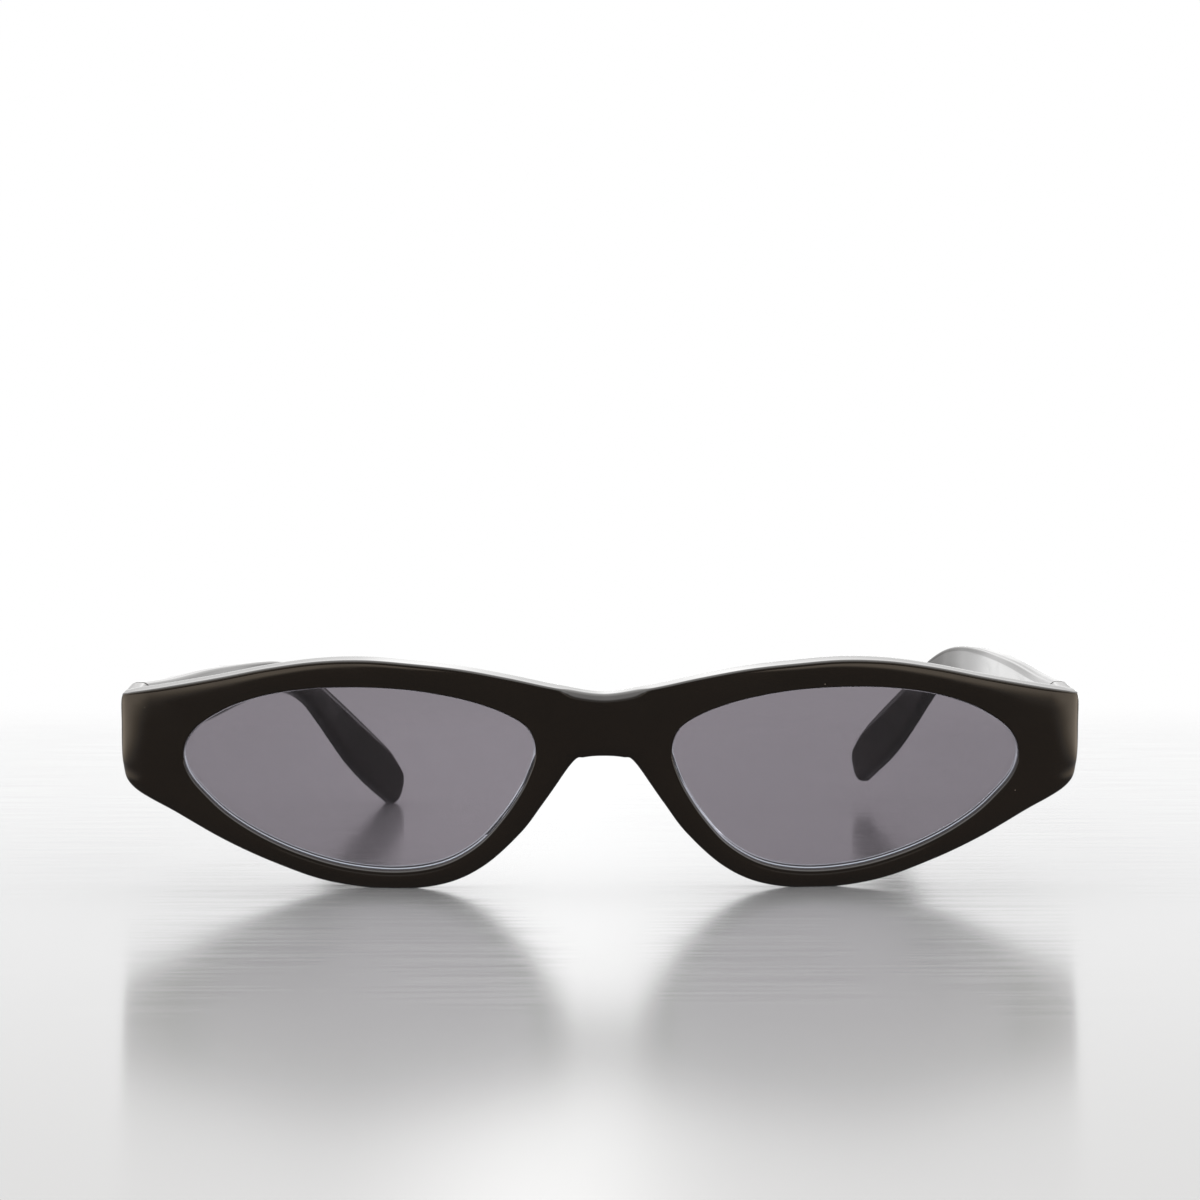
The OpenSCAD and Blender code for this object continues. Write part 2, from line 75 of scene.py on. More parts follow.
class Side(Enum):
    """The wearer's side, with the sign of its X."""

    LEFT = 1
    RIGHT = -1

    @property
    def word(self) -> str:
        """Word that starts the names of the pieces on this side."""
        return self.name.lower()


class Join(Enum):
    """How a solid is combined with another."""

    ADD = "UNION"
    CUT = "DIFFERENCE"


# Each temple as photographed: its lift towards the tip and its swing in, in degrees.
TEMPLE_POSES = ((Side.LEFT, 1.8, 0.0), (Side.RIGHT, 0.0, 7.8))


# ---------------------------------------------------------------- curves and meshes


def curve(
    a: np.ndarray, b: np.ndarray, c: np.ndarray, d: np.ndarray, t: np.ndarray
) -> np.ndarray:
    """Smooth curve through four knots, between the middle two.

    Args:
        a: Knots before the span's start.
        b: Knots at the span's start.
        c: Knots at the span's end.
        d: Knots after the span's end.
        t: Places along the span, from 0 to 1.

    Returns:
        The points at these places.
    """
    slope, bend, twist = c - a, 2 * a - 5 * b + 4 * c - d, 3 * b - a - 3 * c + d
    return 0.5 * (2 * b + slope * t + bend * t**2 + twist * t**3)


def ease(x: np.ndarray | float, low: float, high: float) -> np.ndarray:
    """Smooth step from 0 at low to 1 at high.

    Args:
        x: Values to map.
        low: Value that gives 0.
        high: Value that gives 1.

    Returns:
        The step at each value.
    """
    t = np.clip((np.asarray(x) - low) / (high - low), 0.0, 1.0)
    return t * t * (3 - 2 * t)


def unit(v: np.ndarray) -> np.ndarray:
    """Vectors scaled to length 1 along the last axis."""
    return v / np.linalg.norm(v, axis=-1, keepdims=True)


def quarter(count: int) -> np.ndarray:
    """Angles of points along a quarter turn, its ends among them."""
    return np.linspace(0, math.pi / 2, count)


@dataclass
class Shape:
    """Points in millimetres and the faces between them."""

    points: np.ndarray
    faces: list[tuple[int, ...]]

    def mirrored(self) -> "Shape":
        """The same shape on the other side of X = 0, with its faces turned to match."""
        return Shape(self.points * np.array([-1.0, 1.0, 1.0]), [f[::-1] for f in self.faces])

    def turned(self, degrees: float, centre: Pair) -> "Shape":
        """The same shape turned about a vertical axis.

        Args:
            degrees: Turn, counter-clockwise from above.
            centre: X and Y of the axis.

        Returns:
            The turned shape.
        """
        a = math.radians(degrees)
        c = np.array([centre[0], centre[1], 0.0])
        m = np.array([[math.cos(a), -math.sin(a), 0], [math.sin(a), math.cos(a), 0], [0, 0, 1]])
        return Shape((self.points - c) @ m.T + c, self.faces)

    def joined(self, other: "Shape") -> "Shape":
        """This shape and another as one.

        Args:
            other: The shape to add.

        Returns:
            Both, with the faces of the other counted on from this one's points.
        """
        shift = len(self.points)
        faces = self.faces + [tuple(i + shift for i in f) for f in other.faces]
        return Shape(np.vstack([self.points, other.points]), faces)


def loft(rings: np.ndarray) -> Shape:
    """Skin through a row of closed rings, with a face on each end.

    Args:
        rings: Points of the rings, as ring, point, coordinate.

    Returns:
        The skin.
    """
    n, m = rings.shape[:2]
    faces: list[tuple[int, ...]] = []
    for i in range(n - 1):
        for j in range(m):
            k = (j + 1) % m
            faces.append((i * m + j, i * m + k, (i + 1) * m + k, (i + 1) * m + j))
    faces.append(tuple(range(m))[::-1])
    faces.append(tuple((n - 1) * m + j for j in range(m)))
    return Shape(rings.reshape(-1, 3), faces)


def rounded_ring(width: float, height: float, radius: float) -> np.ndarray:
    """Rounded rectangle about the origin.

    Args:
        width: Size along the first axis.
        height: Size along the second axis.
        radius: Radius of its corners.

    Returns:
        Its points, as pairs.
    """
    r = min(radius, MOST_ROUND * width, MOST_ROUND * height)
    arcs = []
    for q in range(4):
        cx = (width / 2 - r) * (1 if q in (0, 3) else -1)
        cy = (height / 2 - r) * (1 if q < 2 else -1)
        a = np.radians(90 * (q + np.linspace(0, 1, ARC_SPANS + 1)))
        arcs.append(np.stack([cx + r * np.cos(a), cy + r * np.sin(a)], 1))
    ring = []
    for arc, following in zip(arcs, arcs[1:] + arcs[:1]):
        flat = following[0] - arc[-1]
        ring += [*arc, arc[-1] + FLAT_END * flat, arc[-1] + (1 - FLAT_END) * flat]
    return np.array(ring)


def block(low: Triple, high: Triple) -> Shape:
    """Box between two corners, used to cut seats."""
    ring = [(low[0], low[1]), (high[0], low[1]), (high[0], high[1]), (low[0], high[1])]
    return loft(np.array([[(x, y, z) for x, y in ring] for z in (low[2], high[2])]))


def raw_mesh(name: str, shape: Shape) -> bpy.types.Mesh:
    """Blender mesh of a shape, in metres.

    Args:
        name: Name of the mesh.
        shape: Its shape, in millimetres.

    Returns:
        The mesh, as its points and faces are.
    """
    data = bpy.data.meshes.new(name)
    data.from_pydata((shape.points * MM).tolist(), [], shape.faces)
    return data


def tidy(data: bpy.types.Mesh, sharp: float) -> None:
    """Merges doubled points, drops loose ones, turns the faces out and sets the shading.

    Args:
        data: Mesh to clean.
        sharp: Angle in degrees from which an edge is drawn sharp.
    """
    bm = bmesh.new()
    bm.from_mesh(data)
    bmesh.ops.remove_doubles(bm, verts=bm.verts, dist=WELD * MM)
    bmesh.ops.delete(bm, geom=[v for v in bm.verts if not v.link_faces], context="VERTS")
    bmesh.ops.recalc_face_normals(bm, faces=bm.faces)
    bm.to_mesh(data)
    bm.free()
    data.polygons.foreach_set("use_smooth", [True] * len(data.polygons))
    data.set_sharp_from_angle(angle=math.radians(sharp))


def add_object(name: str, data: bpy.types.ID) -> bpy.types.Object:
    """Puts an object with the given data in the scene.

    Args:
        name: Name of the object.
        data: Its mesh, light or camera.

    Returns:
        The object.
    """
    thing = bpy.data.objects.new(name, data)
    bpy.context.scene.collection.objects.link(thing)
    return thing


def build(name: str, shape: Shape) -> bpy.types.Object:
    """Blender object from a shape, closed, facing outwards and shaded smooth.

    Args:
        name: Name of the object.
        shape: Its shape, in millimetres.

    Returns:
        The object, in metres.
    """
    data = raw_mesh(name, shape)
    tidy(data, SHARP)
    return add_object(name, data)


def combine(thing: bpy.types.Object, join: Join, shapes: list[Shape]) -> None:
    """Adds solids to an object or cuts them out of it.

    Args:
        thing: Object that changes.
        join: Whether the solids are added or cut.
        shapes: The solids.
    """
    tools = [build(f"tool_{i}", s) for i, s in enumerate(shapes)]
    for tool in tools:
        step = thing.modifiers.new("join", "BOOLEAN")
        step.operation, step.solver, step.object = join.value, "EXACT", tool
    bpy.context.view_layer.update()
    seen = thing.evaluated_get(bpy.context.evaluated_depsgraph_get())
    data = bpy.data.meshes.new_from_object(seen)
    thing.modifiers.clear()
    thing.data = data
    data.name = thing.name
    tidy(data, SHARP)
    for tool in tools:
        bpy.data.objects.remove(tool)


def floor_level(thing: bpy.types.Object) -> None:
    """Grinds an object flat where it rests on the floor.

    Args:
        thing: Object that changes.
    """
    for v in thing.data.vertices:
        v.co.z = max(v.co.z, 0.0)
    thing.data.update()


def coat(thing: bpy.types.Object, finish: bpy.types.Material) -> None:
    """Gives an object one finish in place of any that it has."""
    thing.data.materials.clear()
    thing.data.materials.append(finish)


# ---------------------------------------------------------------- materials


class Graph:
    """Shorthand for adding nodes to a tree."""

    def __init__(self, tree: bpy.types.NodeTree) -> None:
        """Keeps the tree that the nodes go into."""
        self.tree = tree

    def add(self, kind: str, values: dict | None = None, **settings: object) -> bpy.types.Node:
        """Adds a node.

        Args:
            kind: Blender's name for the kind of node.
            values: Values or other nodes' outputs for its inputs, by name or number.
            settings: Properties of the node.

        Returns:
            The node.
        """
        node = self.tree.nodes.new(kind)
        for name, value in settings.items():
            setattr(node, name, value)
        for name, value in (values or {}).items():
            if isinstance(value, Socket):
                self.link(value, node.inputs[name])
            else:
                node.inputs[name].default_value = value
        return node

    def link(self, output: Socket, given: Socket) -> None:
        """Links an output to an input."""
        self.tree.links.new(output, given)

    def math(self, operation: str, *values: object) -> Socket:
        """Adds a Math node and returns its output."""
        return self.add("ShaderNodeMath", dict(enumerate(values)), operation=operation).outputs[0]

    def spread(self, value: Socket, band: Pair, to: Pair = (0.0, 1.0)) -> Socket:
        """Maps a value smoothly from one range to another.

        Args:
            value: Output to map.
            band: Values that give the two ends.
            to: The two ends.

        Returns:
            The mapped output.
        """
        words = ("From Min", "From Max", "To Min", "To Max")
        values = {"Value": value, **dict(zip(words, (*band, *to)))}
        node = self.add("ShaderNodeMapRange", values, interpolation_type="SMOOTHSTEP")
        return node.outputs["Result"]

    def mix(self, share: object, first: object, second: object) -> Socket:
        """Mixes two colours and returns the output."""
        node = self.add("ShaderNodeMix", {0: share, 6: first, 7: second}, data_type="RGBA")
        return node.outputs[2]


def new_group(
    name: str, inputs: dict[str, float | None], outputs: list[str]
) -> tuple[Graph, dict[str, Socket], dict[str, Socket]]:
    """Starts a shader node group with named sockets.

    Args:
        name: Name of the group.
        inputs: Default value of each input. None makes a vector input.
        outputs: Names of the outputs, each one a number.

    Returns:
        The group's graph, its input sockets and the sockets that its outputs take.
    """
    tree = bpy.data.node_groups.new(name, "ShaderNodeTree")
    for word, value in inputs.items():
        kind = "NodeSocketVector" if value is None else "NodeSocketFloat"
        socket = tree.interface.new_socket(name=word, in_out="INPUT", socket_type=kind)
        if value is not None:
            socket.default_value = value
    for word in outputs:
        tree.interface.new_socket(name=word, in_out="OUTPUT", socket_type="NodeSocketFloat")
    graph = Graph(tree)
    start, end = graph.add("NodeGroupInput"), graph.add("NodeGroupOutput")
    given = {s.name: s for s in start.outputs if s.name}
    return graph, given, {s.name: s for s in end.inputs if s.name}


class Effects:
    """Shader node groups that several finishes use."""

    def __init__(self) -> None:
        """Builds the groups once."""
        self.dust = self.make_dust()
        self.smudge = self.make_smudge()
        self.grain = self.make_grain()

    @staticmethod
    def make_dust() -> bpy.types.NodeTree:
        """Sparse round flecks of dust.

        Returns:
            The group. Share is the part of the cells that hold a fleck, and Mask is 1 on it.
        """
        inputs = {"Vector": None, "Scale": 900.0, "Share": 0.05, "Size": 0.2}
        graph, given, out = new_group("dust_flecks", inputs, ["Mask"])
        where = {"Vector": given["Vector"], "Scale": given["Scale"]}
        cells = graph.add("ShaderNodeTexVoronoi", where)
        parts = graph.add("ShaderNodeSeparateColor", {0: cells.outputs["Color"]})
        picked = graph.math("LESS_THAN", parts.outputs[0], given["Share"])
        radius = graph.math("MULTIPLY", parts.outputs[1], given["Size"])
        inside = graph.math("SUBTRACT", radius, cells.outputs["Distance"])
        soft = graph.add("ShaderNodeMapRange", {"Value": inside, "From Max": 0.04})
        graph.link(graph.math("MULTIPLY", picked, soft.outputs["Result"]), out["Mask"])
        return graph.tree

    @staticmethod
    def make_smudge() -> bpy.types.NodeTree:
        """Faint wiped patches and the slow waves of a moulded or polished face.

        Returns:
            The group, with the two as its outputs.
        """
        inputs = {"Vector": None, "Scale": 60.0}
        graph, given, out = new_group("smudge", inputs, ["Patches", "Waves"])
        wiped = {"Vector": given["Vector"], "Scale": (1.0, 1.0, 2.2)}
        stretch = graph.add("ShaderNodeMapping", wiped)
        fine = {"Scale": given["Scale"], "Detail": 5.0, "Roughness": 0.62, "Distortion": 0.7}
        patches = graph.add("ShaderNodeTexNoise", {"Vector": stretch.outputs[0], **fine})
        slow = {"Vector": given["Vector"], "Scale": given["Scale"], "Detail": 1.0}
        waves = graph.add("ShaderNodeTexNoise", slow)
        graph.link(graph.spread(patches.outputs[0], (0.42, 0.72)), out["Patches"])
        graph.link(waves.outputs[0], out["Waves"])
        return graph.tree

    @staticmethod
    def make_grain() -> bpy.types.NodeTree:
        """Fine streaks along one direction, from brushing or drawing.

        Returns:
            The group. Along and Across are the streaks' counts for a metre.
        """
        inputs = {"Vector": None, "Along": 40.0, "Across": 3000.0}
        graph, given, out = new_group("grain", inputs, ["Tone"])
        counts = {0: given["Across"], 1: given["Along"], 2: given["Across"]}
        scale = graph.add("ShaderNodeCombineXYZ", counts).outputs[0]
        factors = {0: given["Vector"], 1: scale}
        streaks = graph.add("ShaderNodeVectorMath", factors, operation="MULTIPLY").outputs[0]
        fine = {"Vector": streaks, "Scale": 1.0, "Detail": 3.0, "Roughness": 0.6}
        graph.link(graph.add("ShaderNodeTexNoise", fine).outputs[0], out["Tone"])
        return graph.tree


def new_material(
    name: str, values: dict[str, float]
) -> tuple[bpy.types.Material, Graph, bpy.types.Node, Socket]:
    """Starts a material with a Principled shader.

    Args:
        name: Name of the material.
        values: Plain values for the shader's own sockets.

    Returns:
        The material, its graph, its shader and the object coordinates.
    """
    material = bpy.data.materials.new(name)
    material.use_nodes = True
    graph = Graph(material.node_tree)
    shader = material.node_tree.nodes["Principled BSDF"]
    for word, value in values.items():
        shader.inputs[word].default_value = value
    place = graph.add("ShaderNodeTexCoord").outputs["Object"]
    return material, graph, shader, place


def use(graph: Graph, group: bpy.types.NodeTree, values: dict[str, object]) -> dict[str, Socket]:
    """Places a node group in a material with its own values.

    Args:
        graph: Graph of the material.
        group: The node group.
        values: Values of its inputs.

    Returns:
        Its outputs, by name.
    """
    return dict(graph.add("ShaderNodeGroup", values, node_tree=group).outputs.items())


@dataclass(frozen=True)
class GlossPlastic:
    """Injection-moulded black plastic with a polished skin, faint smudges and dust."""

    name: str = "black_gloss_plastic"
    base: Colour = (0.0058, 0.0036, 0.0020, 1.0)
    lighter: Colour = (0.0088, 0.0058, 0.0036, 1.0)
    dust: Colour = (0.16, 0.13, 0.10, 1.0)
    polish: float = 0.07
    smudged: float = 0.15
    dusty: float = 0.8

    def make(self, effects: Effects) -> bpy.types.Material:
        """Builds the material.

        Args:
            effects: The shared node groups.

        Returns:
            The material.
        """
        values = {"Specular IOR Level": 0.5, "IOR": 1.5}
        material, graph, shader, place = new_material(self.name, values)
        smudge = use(graph, effects.smudge, {"Vector": place, "Scale": 70.0})
        flecks = {"Vector": place, "Scale": 1300.0, "Share": 0.010, "Size": 0.16}
        dust = use(graph, effects.dust, flecks)["Mask"]
        body = graph.mix(smudge["Waves"], self.base, self.lighter)
        graph.link(graph.mix(dust, body, self.dust), shader.inputs["Base Color"])
        rough = graph.spread(smudge["Patches"], (0.0, 1.0), (self.polish, self.smudged))
        rough = graph.math("MAXIMUM", rough, graph.math("MULTIPLY", dust, self.dusty))
        graph.link(rough, shader.inputs["Roughness"])
        ripple = {"Height": smudge["Waves"], "Strength": 0.04, "Distance": 0.0002}
        graph.link(graph.add("ShaderNodeBump", ripple).outputs[0], shader.inputs["Normal"])
        return material


@dataclass(frozen=True)
class TintedLens:
    """Smoke-grey lens, polished, with a painted highlight on the bevel at its edge and a little
    dust.
    """

    name: str = "smoke_lens"
    tint: Colour = (0.257, 0.235, 0.262, 1.0)
    deeper: Colour = (0.230, 0.210, 0.235, 1.0)
    # Lighter tint for the bevel: a painted highlight along the lens's edge.
    bevel: Colour = (0.68, 0.75, 0.85, 1.0)
    dust: Colour = (0.10, 0.09, 0.09, 1.0)
    smudged: float = 0.035

    def make(self, effects: Effects) -> bpy.types.Material:
        """Builds the material.

        Args:
            effects: The shared node groups.

        Returns:
            The material.
        """
        values = {"Transmission Weight": 1.0, "Roughness": 0.0}
        values |= {"IOR": 1.49, "Specular IOR Level": 0.5}
        material, graph, shader, place = new_material(self.name, values)
        smudge = use(graph, effects.smudge, {"Vector": place, "Scale": 24.0})
        flecks = {"Vector": place, "Scale": 1100.0, "Share": 0.006, "Size": 0.15}
        dust = use(graph, effects.dust, flecks)["Mask"]
        # The point attribute gives the share of the painted highlight on the bevel.
        edge = graph.add("ShaderNodeAttribute", attribute_name="bevel").outputs["Fac"]
        body = graph.mix(smudge["Waves"], self.tint, self.deeper)
        body = graph.mix(edge, body, self.bevel)
        graph.link(graph.mix(dust, body, self.dust), shader.inputs["Base Color"])
        rough = graph.spread(smudge["Patches"], (0.0, 1.0), (0.0, self.smudged))
        graph.link(rough, shader.inputs["Roughness"])
        return material


@dataclass(frozen=True)
class BrightMetal:
    """Plated steel with fine tool marks."""

    name: str
    light: Colour
    dark: Colour
    smooth: float
    rough: float
    along: float
    across: float
    wear: float = 0.35

    def make(self, effects: Effects) -> bpy.types.Material:
        """Builds the material.

        Args:
            effects: The shared node groups.

        Returns:
            The material.
        """
        material, graph, shader, place = new_material(self.name, {"Metallic": 1.0})
        marks = {"Vector": place, "Along": self.along, "Across": self.across}
        tone = use(graph, effects.grain, marks)["Tone"]
        patches = use(graph, effects.smudge, {"Vector": place, "Scale": 420.0})["Patches"]
        body = graph.mix(tone, self.dark, self.light)
        worn = graph.math("MULTIPLY", patches, self.wear)
        graph.link(graph.mix(worn, body, self.dark), shader.inputs["Base Color"])
        rough = graph.spread(tone, (0.25, 0.75), (self.smooth, self.rough))
        graph.link(rough, shader.inputs["Roughness"])
        scratch = {"Height": tone, "Strength": 0.12, "Distance": 0.00003}
        graph.link(graph.add("ShaderNodeBump", scratch).outputs[0], shader.inputs["Normal"])
        return material


HINGE_STEEL = BrightMetal(
    name="hinge_nickel", light=(0.66, 0.64, 0.60, 1.0), dark=(0.42, 0.40, 0.37, 1.0),
    smooth=0.22, rough=0.38, along=60.0, across=2600.0,
)
SCREW_STEEL = BrightMetal(
    name="turned_steel", light=(0.72, 0.71, 0.69, 1.0), dark=(0.46, 0.45, 0.44, 1.0),
    smooth=0.16, rough=0.30, along=2200.0, across=2200.0,
)
CORE_STEEL = BrightMetal(
    name="drawn_wire", light=(0.60, 0.60, 0.61, 1.0), dark=(0.38, 0.38, 0.39, 1.0),
    smooth=0.25, rough=0.40, along=30.0, across=4200.0,
)


@dataclass
class Finishes:
    """The materials of the glasses."""

    plastic: bpy.types.Material
    lens: bpy.types.Material
    hinge: bpy.types.Material
    screw: bpy.types.Material
    core: bpy.types.Material


def make_finishes() -> Finishes:
    """Builds all the materials from one set of effects.

    Returns:
        The materials.
    """
    looks = (GlossPlastic(), TintedLens(), HINGE_STEEL, SCREW_STEEL, CORE_STEEL)
    effects = Effects()
    return Finishes(*(look.make(effects) for look in looks))


# ---------------------------------------------------------------- the front


@dataclass
class Front:
    """One-piece front: rims, brow, bridge, nose pads and the wrapped end pieces.

    The opening's knots are shares of the lens's width and height. The outline's knots are
    shares of half the gap, the lens's width and the corner's width, and then of the lower
    rim, the lens's height and the upper rim. Both run from the middle over the brow.
    """

    lens_w: float = 52.0
    lens_h: float = 27.3
    lens_gap: float = 20.0
    rim_low: float = 2.75
    rim_top: float = 4.1
    corner_w: float = 9.7
    end_step: float = 0.1
    rim_d: float = 4.2
    wrap_r: float = 260.0
    lean: float = 8.0
    edge_r: float = 0.8
    lip_r: float = 0.5
    rear_lip_r: float = 0.45
    brow_edge_r: float = 0.5
    crown: float = 0.12

    # The outer corner: its rounding comes and goes between these knots.
    corner_r: float = 4.8
    corner_d: float = 2.2
    corner_edge_r: float = 0.35
    corner_come: Pair = (8.6, 10.2)
    corner_go: Pair = (13.0, 15.0)
    corner_end: float = 11.6

    # The bridge: X at which its softer edge and its recess fade out.
    bridge_dip: float = 0.5
    bridge_r: float = 1.5
    bridge_x: Pair = (4.2, 6.9)
    recess_x: Pair = (5.0, 7.0)
    bridge_knots: int = 3
    brow_knots: int = 12

    # The nose pads, about a knot, and the ground flats under the lowest knots.
    pad_d: float = 4.0
    pad_knot: float = 23.0
    pad_reach: float = 3.2
    pad_at_lens: float = 0.3
    rest_cut: float = 0.15
    low_knots: tuple[int, int] = (14, 24)

    lens_t: float = 2.0
    lens_lip: float = 1.2
    groove_d: float = 0.9
    lens_fit: float = 0.1
    seam_y: float = 15.5
    seam_bevel: float = 0.22
    opening: tuple[Pair, ...] = (
        (0.025, 0.800), (0.060, 0.846), (0.125, 0.901), (0.221, 0.952), (0.346, 0.989),
        (0.481, 1.000), (0.615, 0.989), (0.740, 0.951), (0.846, 0.886), (0.923, 0.806),
        (0.971, 0.729), (0.995, 0.648), (0.998, 0.568), (0.981, 0.484), (0.942, 0.396),
        (0.875, 0.282), (0.779, 0.172), (0.663, 0.081), (0.529, 0.018), (0.385, 0.002),
        (0.260, 0.046), (0.163, 0.152), (0.092, 0.300), (0.040, 0.451), (0.012, 0.568),
        (0.000, 0.646), (0.001, 0.707), (0.010, 0.758),
    )
    outline: tuple[tuple[float, ...], ...] = (
        (0.00, 0.0000, 0.000, 1.00, 0.899, 0.5), (0.70, 0.0000, 0.000, 1.00, 0.923, 0.6),
        (1.00, 0.0770, 0.000, 1.00, 0.946, 0.8), (1.00, 0.2115, 0.000, 1.00, 0.960, 1.0),
        (1.00, 0.3460, 0.000, 1.00, 0.985, 1.0), (1.00, 0.4810, 0.000, 1.00, 1.000, 0.997),
        (1.00, 0.6150, 0.000, 1.00, 0.985, 1.0), (1.00, 0.7540, 0.000, 1.00, 0.941, 1.0),
        (1.00, 0.8700, 0.140, 1.00, 0.879, 1.0), (1.00, 0.9700, 0.440, 1.00, 0.815, 1.0),
        (1.00, 1.0000, 0.830, 1.00, 0.773, 1.0), (1.00, 1.0000, 0.978, 1.00, 0.738, 1.0),
        (1.00, 1.0000, 0.997, 1.00, 0.670, 0.5), (1.00, 1.0000, 0.985, 1.00, 0.514, 0.0),
        (1.00, 1.0000, 0.820, 1.00, 0.396, 0.0), (1.00, 0.9600, 0.379, 1.00, 0.277, 0.0),
        (1.00, 0.8750, 0.052, 1.00, 0.132, 0.0), (1.00, 0.7400, 0.000, 1.00, 0.018, 0.0),
        (1.00, 0.5865, 0.000, 0.29, 0.000, 0.0), (1.00, 0.4135, 0.000, -0.03, 0.000, 0.0),
        (1.00, 0.2600, 0.000, 0.31, 0.000, 0.0), (1.00, 0.1460, 0.000, 1.00, 0.033, 0.0),
        (1.00, 0.0420, 0.000, 1.00, 0.216, 0.0), (0.88, 0.0000, 0.000, 1.00, 0.383, 0.0),
        (0.455, 0.0000, 0.000, 1.00, 0.603, 0.0), (0.28, 0.0000, 0.000, 1.00, 0.631, 0.0),
        (0.00, 0.0000, 0.000, 1.00, 0.639, 0.0),
    )
    # Rings of an end piece: how far they lie ahead of the seam, grow inwards and draw in.
    end_rings: tuple[Triple, ...] = (
        (7.5, 0.5, 2.6), (6.5, 0.35, 1.3), (5.5, 0.2, 0.5),
        (4.6, 0.08, 0.12), (3.6, 0.0, 0.0), (0.25, 0.0, 0.0),
    )
    end_round: float = 0.4  # largest rounding of its edges, as a share of its thickness
    # Rows of points across the face, the back and the outer side, as shares of the way.
    face_rows: tuple[float, ...] = (0.02, 0.05, 0.09, 0.14, 0.2, 0.27, 0.35, 0.46, 0.6, 0.75, 0.9)
    back_rows: tuple[float, ...] = (0.12, 0.3, 0.5, 0.7, 0.88)
    side_rows: tuple[float, ...] = (0.33, 0.67)
    # Points on the roundings, and spans between two knots, more of them at the corner.
    lip_points: int = 7
    rear_lip_points: int = 5
    rear_points: int = 6
    front_points: int = 8
    spans: int = 12
    corner_spans: int = 22
    corner_knots: tuple[int, int] = (9, 14)
    corner_samples: int = 90
    mid_y: float = field(init=False)
    drop_z: float = field(init=False)

    def __post_init__(self) -> None:
        """Finds the shifts that put the front where the CAD has it."""
        pivot = next(j for j in frame["joints"] if j["name"] == "left_hinge")["pos_m"]
        self.mid_y = self.seam_y - pivot[1] / MM
        self.drop_z = 0.0
        first, last = self.low_knots
        k = np.linspace(first, last, 3 * (last - first) + 1)
        low = self.lean_back(self.lay(self.rim(k), np.full(len(k), self.edge_r)))
        self.drop_z = float(low[:, 2].min()) + self.rest_cut
        LOG.info("front set back %.4f mm and down %.4f mm", self.mid_y, self.drop_z)

    @property
    def cut(self) -> int:
        """Knot of the underside of the bridge."""
        return len(self.outline) - 1

    @property
    def half_w(self) -> float:
        """Half the width of the front."""
        return self.lens_gap / 2 + self.lens_w + self.corner_w

    def hole(self, k: np.ndarray) -> np.ndarray:
        """Edge of the lens opening.

        Args:
            k: Places along the knots.

        Returns:
            The points there, as X and height.
        """
        size, corner = [self.lens_w, self.lens_h], [self.lens_gap / 2, self.rim_low]
        knots = np.array(self.opening) * size + corner
        i = np.floor(k).astype(int)
        t = (k - i)[:, None]
        n = len(knots)
        return curve(knots[(i - 1) % n], knots[i % n], knots[(i + 1) % n], knots[(i + 2) % n], t)

    def rim(self, k: np.ndarray) -> np.ndarray:
        """Outline of the front, its knots mirrored past the middle plane.

        Args:
            k: Places along the knots.

        Returns:
            The points there, as X and height.
        """
        shares = np.array(self.outline)
        x = shares[:, :3] @ [self.lens_gap / 2, self.lens_w, self.corner_w]
        z = shares[:, 3:] @ [self.rim_low, self.lens_h, self.rim_top]
        half = np.stack([x, z], 1)
        flipped = half * [-1, 1]
        knots = np.vstack([flipped[3:0:-1], half, flipped[-2:-5:-1]])
        i = np.clip(np.floor(k).astype(int), -1, self.cut)
        t = (k - i)[:, None]
        i = i + 3
        return curve(knots[i - 1], knots[i], knots[i + 1], knots[i + 2], t)

    def hole_out(self, k: np.ndarray) -> np.ndarray:
        """Directions from the opening's edge into the plastic."""
        d = self.hole(k + KNOT_STEP) - self.hole(k - KNOT_STEP)
        return unit(np.stack([-d[:, 1], d[:, 0]], 1))

    def rim_in(self, k: np.ndarray) -> np.ndarray:
        """Directions from the outline into the plastic."""
        d = self.rim(k + KNOT_STEP) - self.rim(k - KNOT_STEP)
        return unit(np.stack([d[:, 1], -d[:, 0]], 1))

    def corner(self, k: np.ndarray) -> np.ndarray:
        """Share of the outer corner's rounding at places along the knots."""
        return np.minimum(ease(k, *self.corner_come), 1 - ease(k, *self.corner_go))

    def corner_depth(self, p: np.ndarray) -> np.ndarray:
        """Depth by which the face falls back round the outer corner.

        Args:
            p: Places on the face, as X and height.

        Returns:
            The depth at each place.
        """
        k = np.linspace(self.corner_go[1], self.corner_end, self.corner_samples)
        side = self.rim(k)
        x = np.interp(p[..., 1], side[:, 1], side[:, 0])
        radii = self.corner_r * (1 - ease(k, *self.corner_go))
        r = np.maximum(np.interp(p[..., 1], side[:, 1], radii), TINY)
        t = np.clip(1 - np.maximum(x - p[..., 0], 0) / r, 0, 1)
        return r * self.corner_d / self.corner_r * (1 - np.sqrt(1 - t * t))

    def wrap(self, x: np.ndarray) -> np.ndarray:
        """Depth of the front behind its flat reference plane at a given X."""
        return self.wrap_r - np.sqrt(self.wrap_r**2 - x**2)

    def lay(self, p: np.ndarray, n: np.ndarray) -> np.ndarray:
        """Points of the front, before its lean, from their place in the outline and depth."""
        return np.stack([p[..., 0], self.wrap(p[..., 0]) + n, p[..., 1]], -1)

    def lean_back(self, p: np.ndarray) -> np.ndarray:
        """Leans points of the front and puts them where the CAD has them.

        Args:
            p: Points, as X, depth and height.

        Returns:
            The points in the frame's coordinates, in millimetres.
        """
        a = math.radians(self.lean)
        y = p[..., 1] * math.cos(a) - p[..., 2] * math.sin(a) - self.mid_y
        z = p[..., 1] * math.sin(a) + p[..., 2] * math.cos(a) - self.drop_z
        return np.stack([p[..., 0], y, z], -1)

